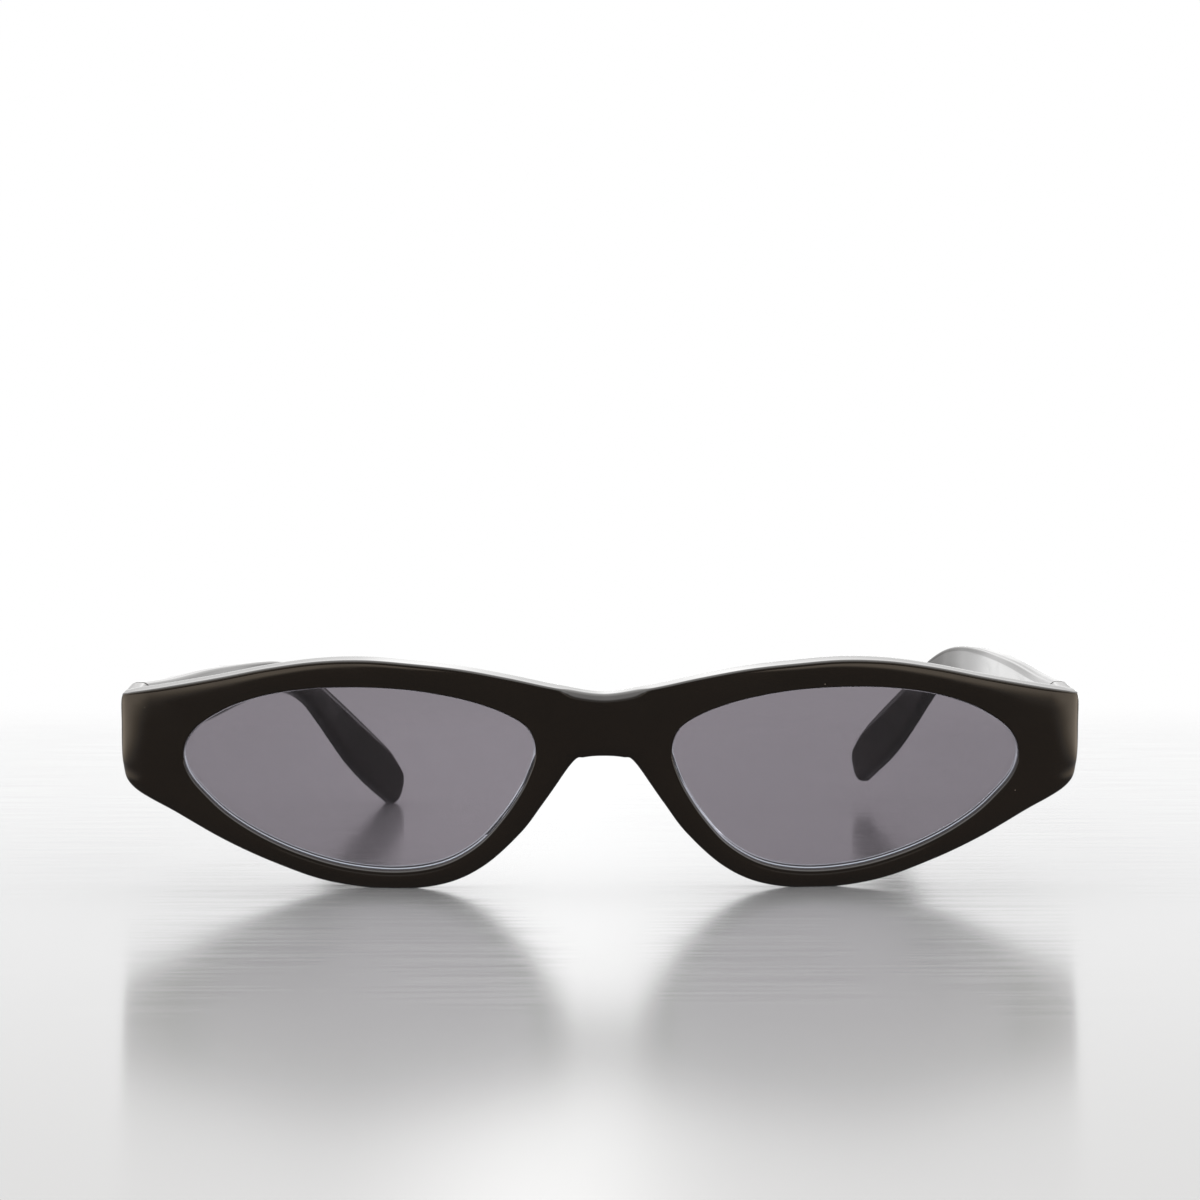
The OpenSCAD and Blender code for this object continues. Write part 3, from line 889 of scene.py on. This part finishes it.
    def stations(self) -> np.ndarray:
        """Places along the knots where sections are cut, closer together at the corner.

        Returns:
            The places, in order.
        """
        first, last = self.corner_knots
        counts = [
            self.corner_spans if first <= i < last else self.spans
            for i in range(len(self.opening))
        ]
        return np.concatenate(
            [np.linspace(i, i + 1, n, endpoint=False) for i, n in enumerate(counts)]
        )

    def edge_line(self, k: np.ndarray, rim: np.ndarray, radius: np.ndarray) -> np.ndarray:
        """Line on a face where its rounding towards the outline starts.

        Past the underside of the bridge it crosses from one half to the other.

        Args:
            k: Places along the knots.
            rim: The outline there.
            radius: Radius of the rounding there.

        Returns:
            The points of the line.
        """
        outer = k <= self.cut
        inward = self.rim_in(np.minimum(k, self.cut - TINY))
        edge = rim + radius[:, None] * inward
        share = np.clip((k - self.cut) / (len(self.opening) - self.cut), 0.0, 1.0)[:, None]
        last = int(np.flatnonzero(outer)[-1])
        crossing = edge[last] * (1 - share) + edge[0] * share
        return np.where(outer[:, None], edge, crossing * [0.0, 1.0])

    def section(self, k: np.ndarray) -> tuple[np.ndarray, int]:
        """Sections of one half of the front.

        Args:
            k: Places along the knots.

        Returns:
            The points, as station, point, coordinate, and the number of points on the
            lens side. They go round the lens side from front to back, then over the
            back face, and round the outside from back to front, then over the face.
        """
        hole, out = self.hole(k), self.hole_out(k)
        rim = self.rim(np.minimum(k, self.cut))
        corner = self.corner(k)
        rear_r = self.edge_r * (1 - corner) + self.corner_edge_r * corner
        front_r = np.where(k < self.brow_knots, self.brow_edge_r, self.edge_r)
        front_r = front_r * (1 - corner) + self.corner_edge_r * corner
        bridge = (1 - ease(np.abs(rim[:, 0]), *self.bridge_x)) * (k < self.bridge_knots)
        front_r = front_r + (self.bridge_r - self.brow_edge_r) * bridge
        rear_edge, front_edge = (self.edge_line(k, rim, r) for r in (rear_r, front_r))
        away = np.minimum(np.abs(k - self.pad_knot) / self.pad_reach, 1)
        pad = self.pad_d * np.where(away < 1, np.cos(away * math.pi / 2) ** 2, 0.0)
        back_in, back_out = self.rim_d + self.pad_at_lens * pad, self.rim_d + pad
        points: list[np.ndarray] = []
        depths: list[np.ndarray] = []

        def put(p: np.ndarray, n: np.ndarray | float) -> None:
            """Adds a point of each section and its depth."""
            points.append(p)
            depths.append(np.broadcast_to(n, k.shape))

        for a in quarter(self.lip_points):
            short = 1 - math.sin(a)
            p = hole + self.lip_r * short * out
            put(p, self.lip_r * (1 - math.cos(a)) + self.crown * short)
        groove = hole + self.groove_d * out
        seat_front = self.lens_lip - self.lens_fit
        seat_back = self.lens_lip + self.lens_t + self.lens_fit
        put(hole, seat_front)
        put(groove, seat_front)
        put(groove, seat_back)
        put(hole, seat_back)
        r = self.rear_lip_r
        for a in quarter(self.rear_lip_points):
            put(hole + r * (1 - math.cos(a)) * out, back_in - r + r * math.sin(a))
        inside = len(points)

        start = hole + r * out
        for t in self.back_rows:
            s = t * t * (3 - 2 * t)
            put(start * (1 - t) + rear_edge * t, back_in * (1 - s) + back_out * s)
        for a in quarter(self.rear_points):
            p = rim + (rear_edge - rim) * (1 - math.sin(a))
            put(p, back_out - rear_r * (1 - math.cos(a)))
        side_n = front_r + self.corner_depth(rim)
        for t in self.side_rows:
            put(rim, (back_out - rear_r) * (1 - t) + side_n * t)
        for a in quarter(self.front_points):
            short = 1 - math.cos(a)
            p = rim + (front_edge - rim) * short
            put(p, front_r * (1 - math.sin(a)) + self.corner_depth(p) + self.crown * short)
        lip = hole + self.lip_r * out
        for t in self.face_rows:
            p = front_edge * (1 - t) + lip * t
            put(p, self.crown * (2 * t - 1) ** 2 + self.corner_depth(p))

        flat, depth = np.stack(points, 1), np.stack(depths, 1)
        near = 1 - ease(np.abs(flat[..., 0]), *self.recess_x)
        depth = depth + self.bridge_dip * near * np.clip(1 - depth / self.rim_d, 0, 1)
        return self.lay(flat, depth), inside

    def half(self) -> Shape:
        """One half of the rims, brow and bridge, open on the middle plane.

        Returns:
            The left half.
        """
        k = self.stations()
        points, inside = self.section(k)
        n, m = points.shape[:2]
        first, last = inside + len(self.back_rows), m - len(self.face_rows) - 1
        faces = []
        for i in range(n):
            i2 = (i + 1) % n
            for j in range(m):
                j2 = (j + 1) % m
                if k[i] >= self.cut and first <= j < last:
                    continue
                faces.append((i * m + j, i2 * m + j, i2 * m + j2, i * m + j2))
        return Shape(self.lean_back(points.reshape(-1, 3)), faces)

    def end_piece(self, hinge: "Hinge", temple: "Temple") -> Shape:
        """Wrapped end piece of the left corner, its top square to the lean.

        Args:
            hinge: Gives the place of the end piece.
            temple: The temple that the end piece continues.

        Returns:
            The end piece as a closed shape.
        """
        face = self.half_w - self.end_step - temple.thick
        half_h = temple.heights[0] / 2
        slope = math.tan(math.radians(self.lean))
        rings = []
        bevelled = (0.0, -self.seam_bevel, self.seam_bevel)
        for ahead, grow, inset in (*self.end_rings, bevelled):
            bevel = 0.0 if ahead else self.seam_bevel
            x0, x1 = face - grow, face + temple.thick - inset
            z0 = hinge.z - half_h + bevel
            z1 = hinge.z + half_h - ahead * slope - bevel
            radius = min(temple.edge_r, self.end_round * (x1 - x0))
            flat = rounded_ring(x1 - x0, z1 - z0, radius)
            y = np.full(len(flat), self.seam_y - ahead - self.mid_y)
            rings.append(np.stack([flat[:, 0] + (x0 + x1) / 2, y, flat[:, 1] + (z0 + z1) / 2], 1))
        return loft(np.array(rings))

    def make(self, hinge: "Hinge", temple: "Temple", finishes: Finishes) -> bpy.types.Object:
        """Builds the front, cuts the leaves' seats and dresses it.

        Args:
            hinge: Gives the seats' places and sizes.
            temple: The temple that the end pieces continue.
            finishes: The materials.

        Returns:
            The front.
        """
        half, end, seat = self.half(), self.end_piece(hinge, temple), hinge.seat(-1)
        thing = build("front_moulding", half.joined(half.mirrored()))
        combine(thing, Join.ADD, [end, end.mirrored()])
        combine(thing, Join.CUT, [seat, seat.mirrored()])
        floor_level(thing)
        coat(thing, finishes.plastic)
        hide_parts("front_frame")
        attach(thing, "front")
        return thing


@dataclass
class Lens:
    """Curved tinted lens in the groove of its rim."""

    front: Front
    bevel_w: float = 0.2
    bevel_d: float = 0.16
    edge_in: float = 0.12
    overlap: float = 0.02
    face_in: float = 0.05
    count: int = 168
    face_rows: tuple[float, ...] = (1.0, 0.97, 0.9, 0.78, 0.62, 0.45, 0.28, 0.12)
    # The painted highlight on the bevel: its share at the inner edge and along the upper edge; it
    # is full along the lower edge.
    inner_highlight: float = 0.6
    upper_highlight: float = 0.2
    highlight_band: Pair = (-0.4, 0.5)

    def make(self, side: Side, finishes: Finishes) -> bpy.types.Object:
        """Builds one lens as a closed shell with a bevel just inside the opening.

        Args:
            side: The wearer's side.
            finishes: The materials.

        Returns:
            The lens.
        """
        f = self.front
        k = np.linspace(0, len(f.opening), self.count, endpoint=False)
        hole, out = f.hole(k), f.hole_out(k)
        middle = hole.mean(0)
        outer = hole + (f.groove_d - f.lens_fit) * out
        rounded = outer - self.edge_in * out
        inner = hole - (self.bevel_w + self.face_in) * out
        # Rings of the front face from the edge inwards: points, depth and share of the painted
        # highlight on the bevel.
        tops = [
            (rounded, self.bevel_d, 0.0),
            (hole + self.overlap * out, self.bevel_d, 1.0),
            (hole - 0.5 * self.bevel_w * out, 0.5 * self.bevel_d, 1.0),
            (hole - self.bevel_w * out, 0.0, self.inner_highlight),
        ]
        tops += [(middle + t * (inner - middle), 0.0, 0.0) for t in self.face_rows]
        rows = [(flat, depth, highlight_share) for flat, depth, highlight_share in reversed(tops)]
        rows.append((outer, self.bevel_d + self.edge_in, 0.0))
        rows.append((outer, f.lens_t - self.edge_in, 0.0))
        rows.append((rounded, f.lens_t, 0.0))
        rows += [(flat, f.lens_t, highlight_share) for flat, _, highlight_share in tops[1:]]
        rings = [f.lay(flat, np.full(len(k), f.lens_lip + depth)) for flat, depth, _ in rows]
        shape = loft(f.lean_back(np.array(rings)))
        shape = shape if side is Side.LEFT else shape.mirrored()
        # Painted highlight on the bevel: full along the lower edge, faint along the upper one.
        low = self.upper_highlight + (1 - self.upper_highlight) * ease(-out[:, 1], *self.highlight_band)
        marks = np.outer([highlight_share for _, _, highlight_share in rows], low).ravel().astype(np.float32)
        name = f"{side.word}_lens_glass"
        data = raw_mesh(name, shape)
        # The point attribute carries the painted highlight's share to the lens finish.
        data.attributes.new("bevel", "FLOAT", "POINT").data.foreach_set("value", marks)
        tidy(data, LENS_SHARP)
        thing = add_object(name, data)
        coat(thing, finishes.lens)
        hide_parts(f"{side.word}_lens")
        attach(thing, "front")
        return thing


# ---------------------------------------------------------------- temples and hinges


@dataclass
class Hinge:
    """Place and sizes of a three-knuckle hinge."""

    front: Front
    z: float = 24.05
    face_gap: float = 1.9
    leaf_h: float = 7.4
    leaf_l: float = 10.0
    front_leaf_l: float = 5.0
    leaf_sink: float = 0.4
    play: float = 0.05
    thick: float = 3.2
    over: Pair = (1.0, 0.5)  # how far a seat's cutter starts before the face and the seam

    @property
    def face_x(self) -> float:
        """X of the inner face that the leaves lie on."""
        return self.front.half_w - self.front.end_step - self.thick

    @property
    def axis(self) -> Pair:
        """X and Y of the pivot's axis."""
        return self.face_x - self.face_gap, self.front.seam_y - self.front.mid_y

    def seat(self, way: int) -> Shape:
        """Recess for a leaf in the left end piece or temple.

        Args:
            way: Direction from the seam, -1 before it and 1 behind it.

        Returns:
            The block to cut out.
        """
        far = self.leaf_l if way > 0 else self.front_leaf_l
        y = self.axis[1]
        y0, y1 = sorted((y - way * self.over[1], y + way * (far + self.play)))
        high = self.leaf_h / 2 + self.play
        deep = self.face_x + self.leaf_sink + self.play
        near = self.face_x - self.over[0]
        return block((near, y0, self.z - high), (deep, y1, self.z + high))


@dataclass
class Temple:
    """Side arm with a drop end, lofted along its centre line.

    Each knot is shares of the reach, the tuck, the rise and the drop.
    """

    front: Front
    hinge: Hinge
    reach: float = 128.0
    tuck: float = 22.9
    splay: float = 3.5
    rise: float = 2.65
    height: float = 11.3
    waist: float = 5.2
    tip: float = 8.8
    tip_rest: float = 0.24
    thick: float = 3.2
    seam_gap: float = 0.15
    seam_bevel: float = 0.22

    # The long edges' rounding and the thickness change between these knots.
    edge_r: float = 1.25
    tip_edge_r: float = 0.8
    edge_knots: Pair = (1.0, 4.5)
    slimming: float = 0.2
    slim_knots: Pair = (2.0, 6.0)

    # The domed end, whose rings stop a little before the pole.
    tip_round: float = 2.2
    tip_r: float = 4.2
    tip_cut: float = 0.6
    dome_end: float = 85.0
    dome_spans: int = 14

    seam_places: Triple = (0.0, 0.0125, 0.06)
    spans: int = 14
    step: float = 0.02  # distance along the knots over which a direction is measured
    shares: tuple[tuple[float, ...], ...] = (
        (0.000, 0.000, 0.00, 0.000), (0.156, 0.022, 0.29, 0.000), (0.336, 0.070, 0.60, 0.000),
        (0.520, 0.135, 0.88, 0.000), (0.640, 0.240, 1.00, 0.000), (0.712, 0.345, 1.00, 0.029),
        (0.765, 0.455, 1.00, 0.126), (0.815, 0.560, 1.00, 0.286), (0.862, 0.672, 1.00, 0.466),
        (0.909, 0.790, 1.00, 0.646), (0.956, 0.905, 1.00, 0.805), (1.000, 1.000, 1.00, 0.950),
    )

    @property
    def heights(self) -> list[float]:
        """Height of the section at each knot."""
        h, w, t = self.height, self.waist, self.tip
        return [
            h, 0.7 * h + 0.3 * w, 0.55 * h + 0.45 * w, 0.27 * h + 0.73 * w, 0.1 * h + 0.9 * w,
            w, w, 0.7 * w + 0.3 * t, 0.3 * w + 0.7 * t, t, t, 0.9 * t,
        ]

    def knots(self, lift: float) -> np.ndarray:
        """Knots of the left temple's centre line and its height.

        Args:
            lift: Lift of the temple towards its tip, in degrees.

        Returns:
            Rows of X, Y, Z and height.
        """
        s = np.array(self.shares)
        y = s[:, 0] * self.reach
        x = self.hinge.face_x + self.thick / 2
        x = x + y * math.tan(math.radians(self.splay)) - s[:, 1] * self.tuck
        drop = self.hinge.z + self.rise - self.tip_rest * self.tip
        z = self.hinge.z + s[:, 2] * self.rise - s[:, 3] * drop
        z = z + y * math.tan(math.radians(lift))
        y = self.front.seam_y + self.seam_gap + y - self.front.mid_y
        return np.stack([x, y, z, np.array(self.heights)], 1)

    @staticmethod
    def path(knots: np.ndarray, s: float) -> np.ndarray:
        """Centre line and height at a place along the knots.

        Args:
            knots: Rows of X, Y, Z and height.
            s: The place.

        Returns:
            X, Y, Z and height there.
        """
        ends = 2 * knots[0] - knots[1], 2 * knots[-1] - knots[-2]
        row = np.vstack([ends[0], knots, ends[1]])
        i = min(max(math.floor(s), 0), len(knots) - 2)
        return curve(row[i], row[i + 1], row[i + 2], row[i + 3], s - i)

    def direction(self, knots: np.ndarray, s: float) -> np.ndarray:
        """Direction of the centre line, which starts square to the seam.

        Args:
            knots: Rows of X, Y, Z and height.
            s: Place along the knots.

        Returns:
            The direction there.
        """
        if s < self.step:
            return np.array([0.0, 1.0, 0.0])
        ahead = self.path(knots, min(s + self.step, len(knots) - 1.0))
        return unit((ahead - self.path(knots, s - self.step))[:3])

    def rings(self, lift: float) -> np.ndarray:
        """Rings of the left temple from the seam to the domed tip.

        Args:
            lift: Lift of the temple towards its tip, in degrees.

        Returns:
            Points of the rings, as ring, point, coordinate.
        """
        knots = self.knots(lift)
        turns = len(knots) - 1
        seam, close, start = self.seam_places
        places = [close, *np.linspace(start, turns, self.spans * turns)]
        # Each row is the place, the way past it, the share of the size and the bevel.
        rows = [(seam, 0.0, 1.0, self.seam_bevel)] + [(s, 0.0, 1.0, 0.0) for s in places]
        inset = self.tip_r - self.tip_round
        for a in np.linspace(0, math.radians(self.dome_end), self.dome_spans + 1)[1:]:
            ahead = self.tip_round * math.sin(a)
            left = self.tip_r**2 - (inset + ahead) ** 2
            shrink = math.sqrt(left / (self.tip_r**2 - inset**2))
            rows.append((float(turns), ahead, shrink, 0.0))
        rings = []
        for s, ahead, shrink, bevel in rows:
            x, y, z, high = self.path(knots, s)
            d = self.direction(knots, s)
            u = unit(np.cross(d, [0, 0, 1.0]))
            v = np.cross(u, d)
            slim = 1 - self.slimming * float(ease(s, *self.slim_knots))
            wide = self.thick * slim * (1 + shrink) / 2 - 2 * bevel
            cut = self.tip_cut * max(0.0, s - turns + 1) ** 2 * shrink
            rounder = float(ease(s, *self.edge_knots))
            radius = self.edge_r + (self.tip_edge_r - self.edge_r) * rounder
            flat = rounded_ring(wide, high * shrink - cut - 2 * bevel, radius)
            centre = np.array([x, y, z]) + ahead * d
            rings.append(centre + flat[:, :1] * u + (flat[:, 1:] - cut / 2) * v)
        return np.array(rings)

    def make(
        self, side: Side, lift: float, swing: float, finishes: Finishes
    ) -> bpy.types.Object:
        """Builds one temple, cuts its leaf's seat and dresses it.

        Args:
            side: The wearer's side.
            lift: Lift towards the tip, in degrees.
            swing: Swing in from the open stop, in degrees.
            finishes: The materials.

        Returns:
            The temple.
        """
        shape, seat = loft(self.rings(lift)), self.hinge.seat(1)
        if swing:
            shape = shape.turned(swing, self.hinge.axis)
            seat = seat.turned(swing, self.hinge.axis)
        if side is Side.RIGHT:
            shape, seat = shape.mirrored(), seat.mirrored()
        thing = build(f"{side.word}_temple_arm", shape)
        combine(thing, Join.CUT, [seat])
        floor_level(thing)
        coat(thing, finishes.plastic)
        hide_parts(f"{side.word}_temple")
        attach(thing, f"{side.word}_temple")
        return thing


def dress_hardware(finishes: Finishes) -> None:
    """Gives the CAD's hinge leaves, screws and wires their metal.

    Args:
        finishes: The materials.
    """
    metals = {"leaf": finishes.hinge, "core": finishes.core, "screw": finishes.screw}
    for name, node in frame["nodes"].items():
        if node.hide_render:
            continue
        metal = next(metals[word] for word in metals if word in name)
        for slot in node.material_slots:
            slot.material = metal
        LOG.info("dressed %s with %s", name, metal.name)


# ---------------------------------------------------------------- the studio


@dataclass(frozen=True)
class Studio:
    """Pale brushed floor, soft light from above and behind, and the camera.

    What the glasses mirror of the floor is a glow of its own, dim in front of them and
    bright behind them, so that the gloss shows as in a tent of soft light.
    """

    floor_r: float = 20.0
    floor_y: float = 14.0
    floor_near: Colour = (0.288, 0.287, 0.284, 1.0)
    floor_far: Colour = (0.28, 0.28, 0.282, 1.0)
    tone_y: Pair = (-0.3, -0.05)
    streak: Colour = (0.5, 0.5, 0.5, 1.0)
    streak_share: float = 0.08
    streak_scale: Triple = (30.0, 620.0, 1.0)
    streak_y: Pair = (-0.2, -0.12)
    smooth: float = 0.125
    rough: float = 0.175
    white_y: Pair = (0.24, 0.42)

    # The floor's glow and the X and Y over which each part of it comes.
    front_glow: float = 0.16
    middle_glow: float = 0.45
    middle_y: Pair = (-0.074, 0.02)
    rear_glow: float = 1.5
    rear_y: Pair = (0.32, 0.45)
    side_glow: float = 3.5
    side_x: Pair = (0.0, 0.1)
    flank_glow: float = 1.5
    flank_x: Pair = (0.12, 0.2)
    flank_y: Pair = (0.0, 0.06)
    flank_tint: Colour = (1.0, 0.86, 0.7, 1.0)

    # The sky's brightness, and the parts of a direction over which it comes.
    sky_rear: Pair = (0.5, 1.42)
    sky_rear_y: Pair = (0.45, 0.92)
    sky_spread: Pair = (1.1, 0.97)
    sky_spread_x: Pair = (0.0, 0.17)
    sky_pool: Pair = (0.26, -0.16)
    sky_pool_x: Pair = (0.0, 0.08)
    sky_pool_z: Pair = (0.13, 0.24)
    sky_above: float = 2.4
    sky_above_z: Pair = (0.2, 0.55)
    sky_sides: float = 1.6
    sky_sides_x: Pair = (0.6, 0.92)

    eye: Triple = (-0.01028, -0.47096, 0.04974)
    pitch: float = 88.952
    yaw: float = -1.4
    lens: float = 82.0
    lamp_place: Triple = (0.0, 0.15, 0.8)
    lamp_size: Pair = (1.2, 0.8)
    lamp_power: float = 3.0
    lamp_aim: Triple = (0.0, 0.0, 0.02)

    def floor(self) -> bpy.types.Object:
        """Builds the floor, a pale surface that mirrors softly.

        Returns:
            The floor.
        """
        bm = bmesh.new()
        bmesh.ops.create_circle(bm, cap_ends=True, segments=96, radius=self.floor_r)
        bmesh.ops.translate(bm, verts=bm.verts, vec=(0.0, self.floor_y, 0.0))
        data = bpy.data.meshes.new("floor")
        bm.to_mesh(data)
        bm.free()
        data.materials.append(self.floor_finish())
        thing = add_object("floor", data)
        return thing

    def floor_finish(self) -> bpy.types.Material:
        """Builds the floor's material, which fades to white far behind the glasses.

        Returns:
            The material.
        """
        values = {"Metallic": 0.66, "Specular IOR Level": 0.0}
        values |= {"Anisotropic": 0.5, "Anisotropic Rotation": 0.25}
        material, graph, shader, place = new_material("pale_floor", values)
        x, y, _ = graph.add("ShaderNodeSeparateXYZ", {0: place}).outputs
        self.brush(graph, shader, place, y)
        white = graph.add("ShaderNodeEmission", {"Strength": 1.0}).outputs[0]
        shares = {0: graph.spread(y, self.white_y), 1: shader.outputs[0], 2: white}
        seen = graph.add("ShaderNodeMixShader", shares).outputs[0]
        path = graph.add("ShaderNodeLightPath").outputs
        bounced = graph.math("SUBTRACT", path["Is Glossy Ray"], path["Is Transmission Ray"])
        mirrored = graph.math("GREATER_THAN", bounced, 0.5)
        shares = {0: mirrored, 1: seen, 2: self.floor_glow(graph, x, y)}
        both = graph.add("ShaderNodeMixShader", shares).outputs[0]
        graph.link(both, material.node_tree.nodes["Material Output"].inputs["Surface"])
        return material

    def brush(self, graph: Graph, shader: bpy.types.Node, place: Socket, y: Socket) -> None:
        """Gives the floor its tone and the fine streaks of brushing, which start near the glasses.

        Args:
            graph: Graph of the material.
            shader: Its shader.
            place: The object coordinates.
            y: Their Y.
        """
        stretch = graph.add("ShaderNodeMapping", {"Vector": place, "Scale": self.streak_scale})
        fine = {"Vector": stretch.outputs[0], "Scale": 1.0, "Detail": 5.0}
        lines = graph.add("ShaderNodeTexNoise", fine).outputs[0]
        brushed = graph.spread(y, self.streak_y)
        streaks = graph.math("MULTIPLY", graph.spread(lines, (0.3, 0.7), (-1.0, 1.0)), brushed)
        tone = graph.mix(graph.spread(y, self.tone_y), self.floor_near, self.floor_far)
        share = graph.spread(streaks, (-1.0, 1.0), (0.0, self.streak_share))
        graph.link(graph.mix(share, tone, self.streak), shader.inputs["Base Color"])
        rough = graph.spread(streaks, (-1.0, 1.0), (self.smooth, self.rough))
        graph.link(rough, shader.inputs["Roughness"])

    def floor_glow(self, graph: Graph, x: Socket, y: Socket) -> Socket:
        """Light that the glasses mirror from the floor.

        Args:
            graph: Graph of the floor's material.
            x: X on the floor.
            y: Y on the floor.

        Returns:
            The shader's output.
        """
        near = graph.spread(y, self.middle_y, (self.front_glow, self.middle_glow))
        rear = graph.spread(x, self.side_x, (self.rear_glow, self.rear_glow + self.side_glow))
        far = graph.math("MULTIPLY", graph.spread(y, self.rear_y), rear)
        outside = graph.spread(graph.math("ABSOLUTE", x), self.flank_x)
        flank = graph.math("MULTIPLY", outside, graph.spread(y, self.flank_y, (1.0, 0.0)))
        beside = graph.math("MULTIPLY", flank, self.flank_glow)
        level = graph.math("ADD", graph.math("ADD", near, far), beside)
        tint = graph.mix(graph.spread(flank, (0.0, 0.4)), WHITE, self.flank_tint)
        return graph.add("ShaderNodeEmission", {"Color": tint, "Strength": level}).outputs[0]

    def sky(self) -> None:
        """Soft light all round: bright behind and above, dimmer on the camera's side."""
        world = bpy.data.worlds.new("studio")
        bpy.context.scene.world = world
        world.use_nodes = True
        graph = Graph(world.node_tree)
        way = graph.add("ShaderNodeTexCoord").outputs["Generated"]
        x, y, z = graph.add("ShaderNodeSeparateXYZ", {0: way}).outputs
        aside = graph.math("ABSOLUTE", x)
        rear = graph.spread(y, self.sky_rear_y, self.sky_rear)
        spread = graph.spread(aside, self.sky_spread_x, self.sky_spread)
        rear = graph.math("MULTIPLY", rear, spread)
        # A brighter pool behind the bridge and a dimmer band over the brows.
        middle = graph.spread(aside, self.sky_pool_x, self.sky_pool)
        pool = graph.math("MULTIPLY", graph.spread(z, self.sky_pool_z), middle)
        rear = graph.math("MULTIPLY", rear, graph.math("ADD", pool, 1.0))
        above = graph.spread(z, self.sky_above_z, (0.0, self.sky_above))
        sides = graph.spread(aside, self.sky_sides_x, (0.0, self.sky_sides))
        level = graph.math("ADD", graph.math("ADD", rear, above), sides)
        path = graph.add("ShaderNodeLightPath").outputs
        seen = graph.math("MAXIMUM", path["Is Camera Ray"], path["Is Transmission Ray"])
        level = graph.add("ShaderNodeMix", {0: seen, 2: level, 3: 1.0}, data_type="FLOAT")
        back = world.node_tree.nodes["Background"]
        graph.link(level.outputs[0], back.inputs["Strength"])
        back.inputs["Color"].default_value = WHITE

    def lamp(self) -> None:
        """Adds a soft rectangular lamp over the glasses."""
        light = bpy.data.lights.new("overhead", "AREA")
        light.shape, light.energy = "RECTANGLE", self.lamp_power
        light.size, light.size_y = self.lamp_size
        thing = add_object("overhead", light)
        thing.location = self.lamp_place
        way = Vector(self.lamp_aim) - Vector(self.lamp_place)
        thing.rotation_euler = way.to_track_quat("-Z", "Y").to_euler()
        thing.visible_camera = False

    def camera(self) -> None:
        """Sets the camera at the photograph's angle."""
        data = bpy.data.cameras.new("camera")
        data.lens, data.sensor_width, data.clip_start = self.lens, 36.0, 0.01
        thing = add_object("camera", data)
        thing.location = self.eye
        thing.rotation_euler = (math.radians(self.pitch), 0.0, math.radians(self.yaw))
        bpy.context.scene.camera = thing

    def make(self) -> None:
        """Builds the whole studio."""
        self.camera()
        self.floor()
        self.sky()
        self.lamp()
        bpy.context.scene.view_settings.view_transform = "Standard"


def main() -> None:
    """Builds the glasses piece by piece, then the studio."""
    logging.basicConfig(level=logging.INFO, format="%(name)s: %(message)s")
    finishes = make_finishes()
    front = Front()
    hinge = Hinge(front)
    temple = Temple(front, hinge)
    LOG.info("built %s", front.make(hinge, temple, finishes).name)
    lens = Lens(front)
    for side in Side:
        LOG.info("built %s", lens.make(side, finishes).name)
    for side, lift, swing in TEMPLE_POSES:
        LOG.info("built %s", temple.make(side, lift, swing, finishes).name)
    dress_hardware(finishes)
    Studio().make()


if __name__ == "__main__":
    main()
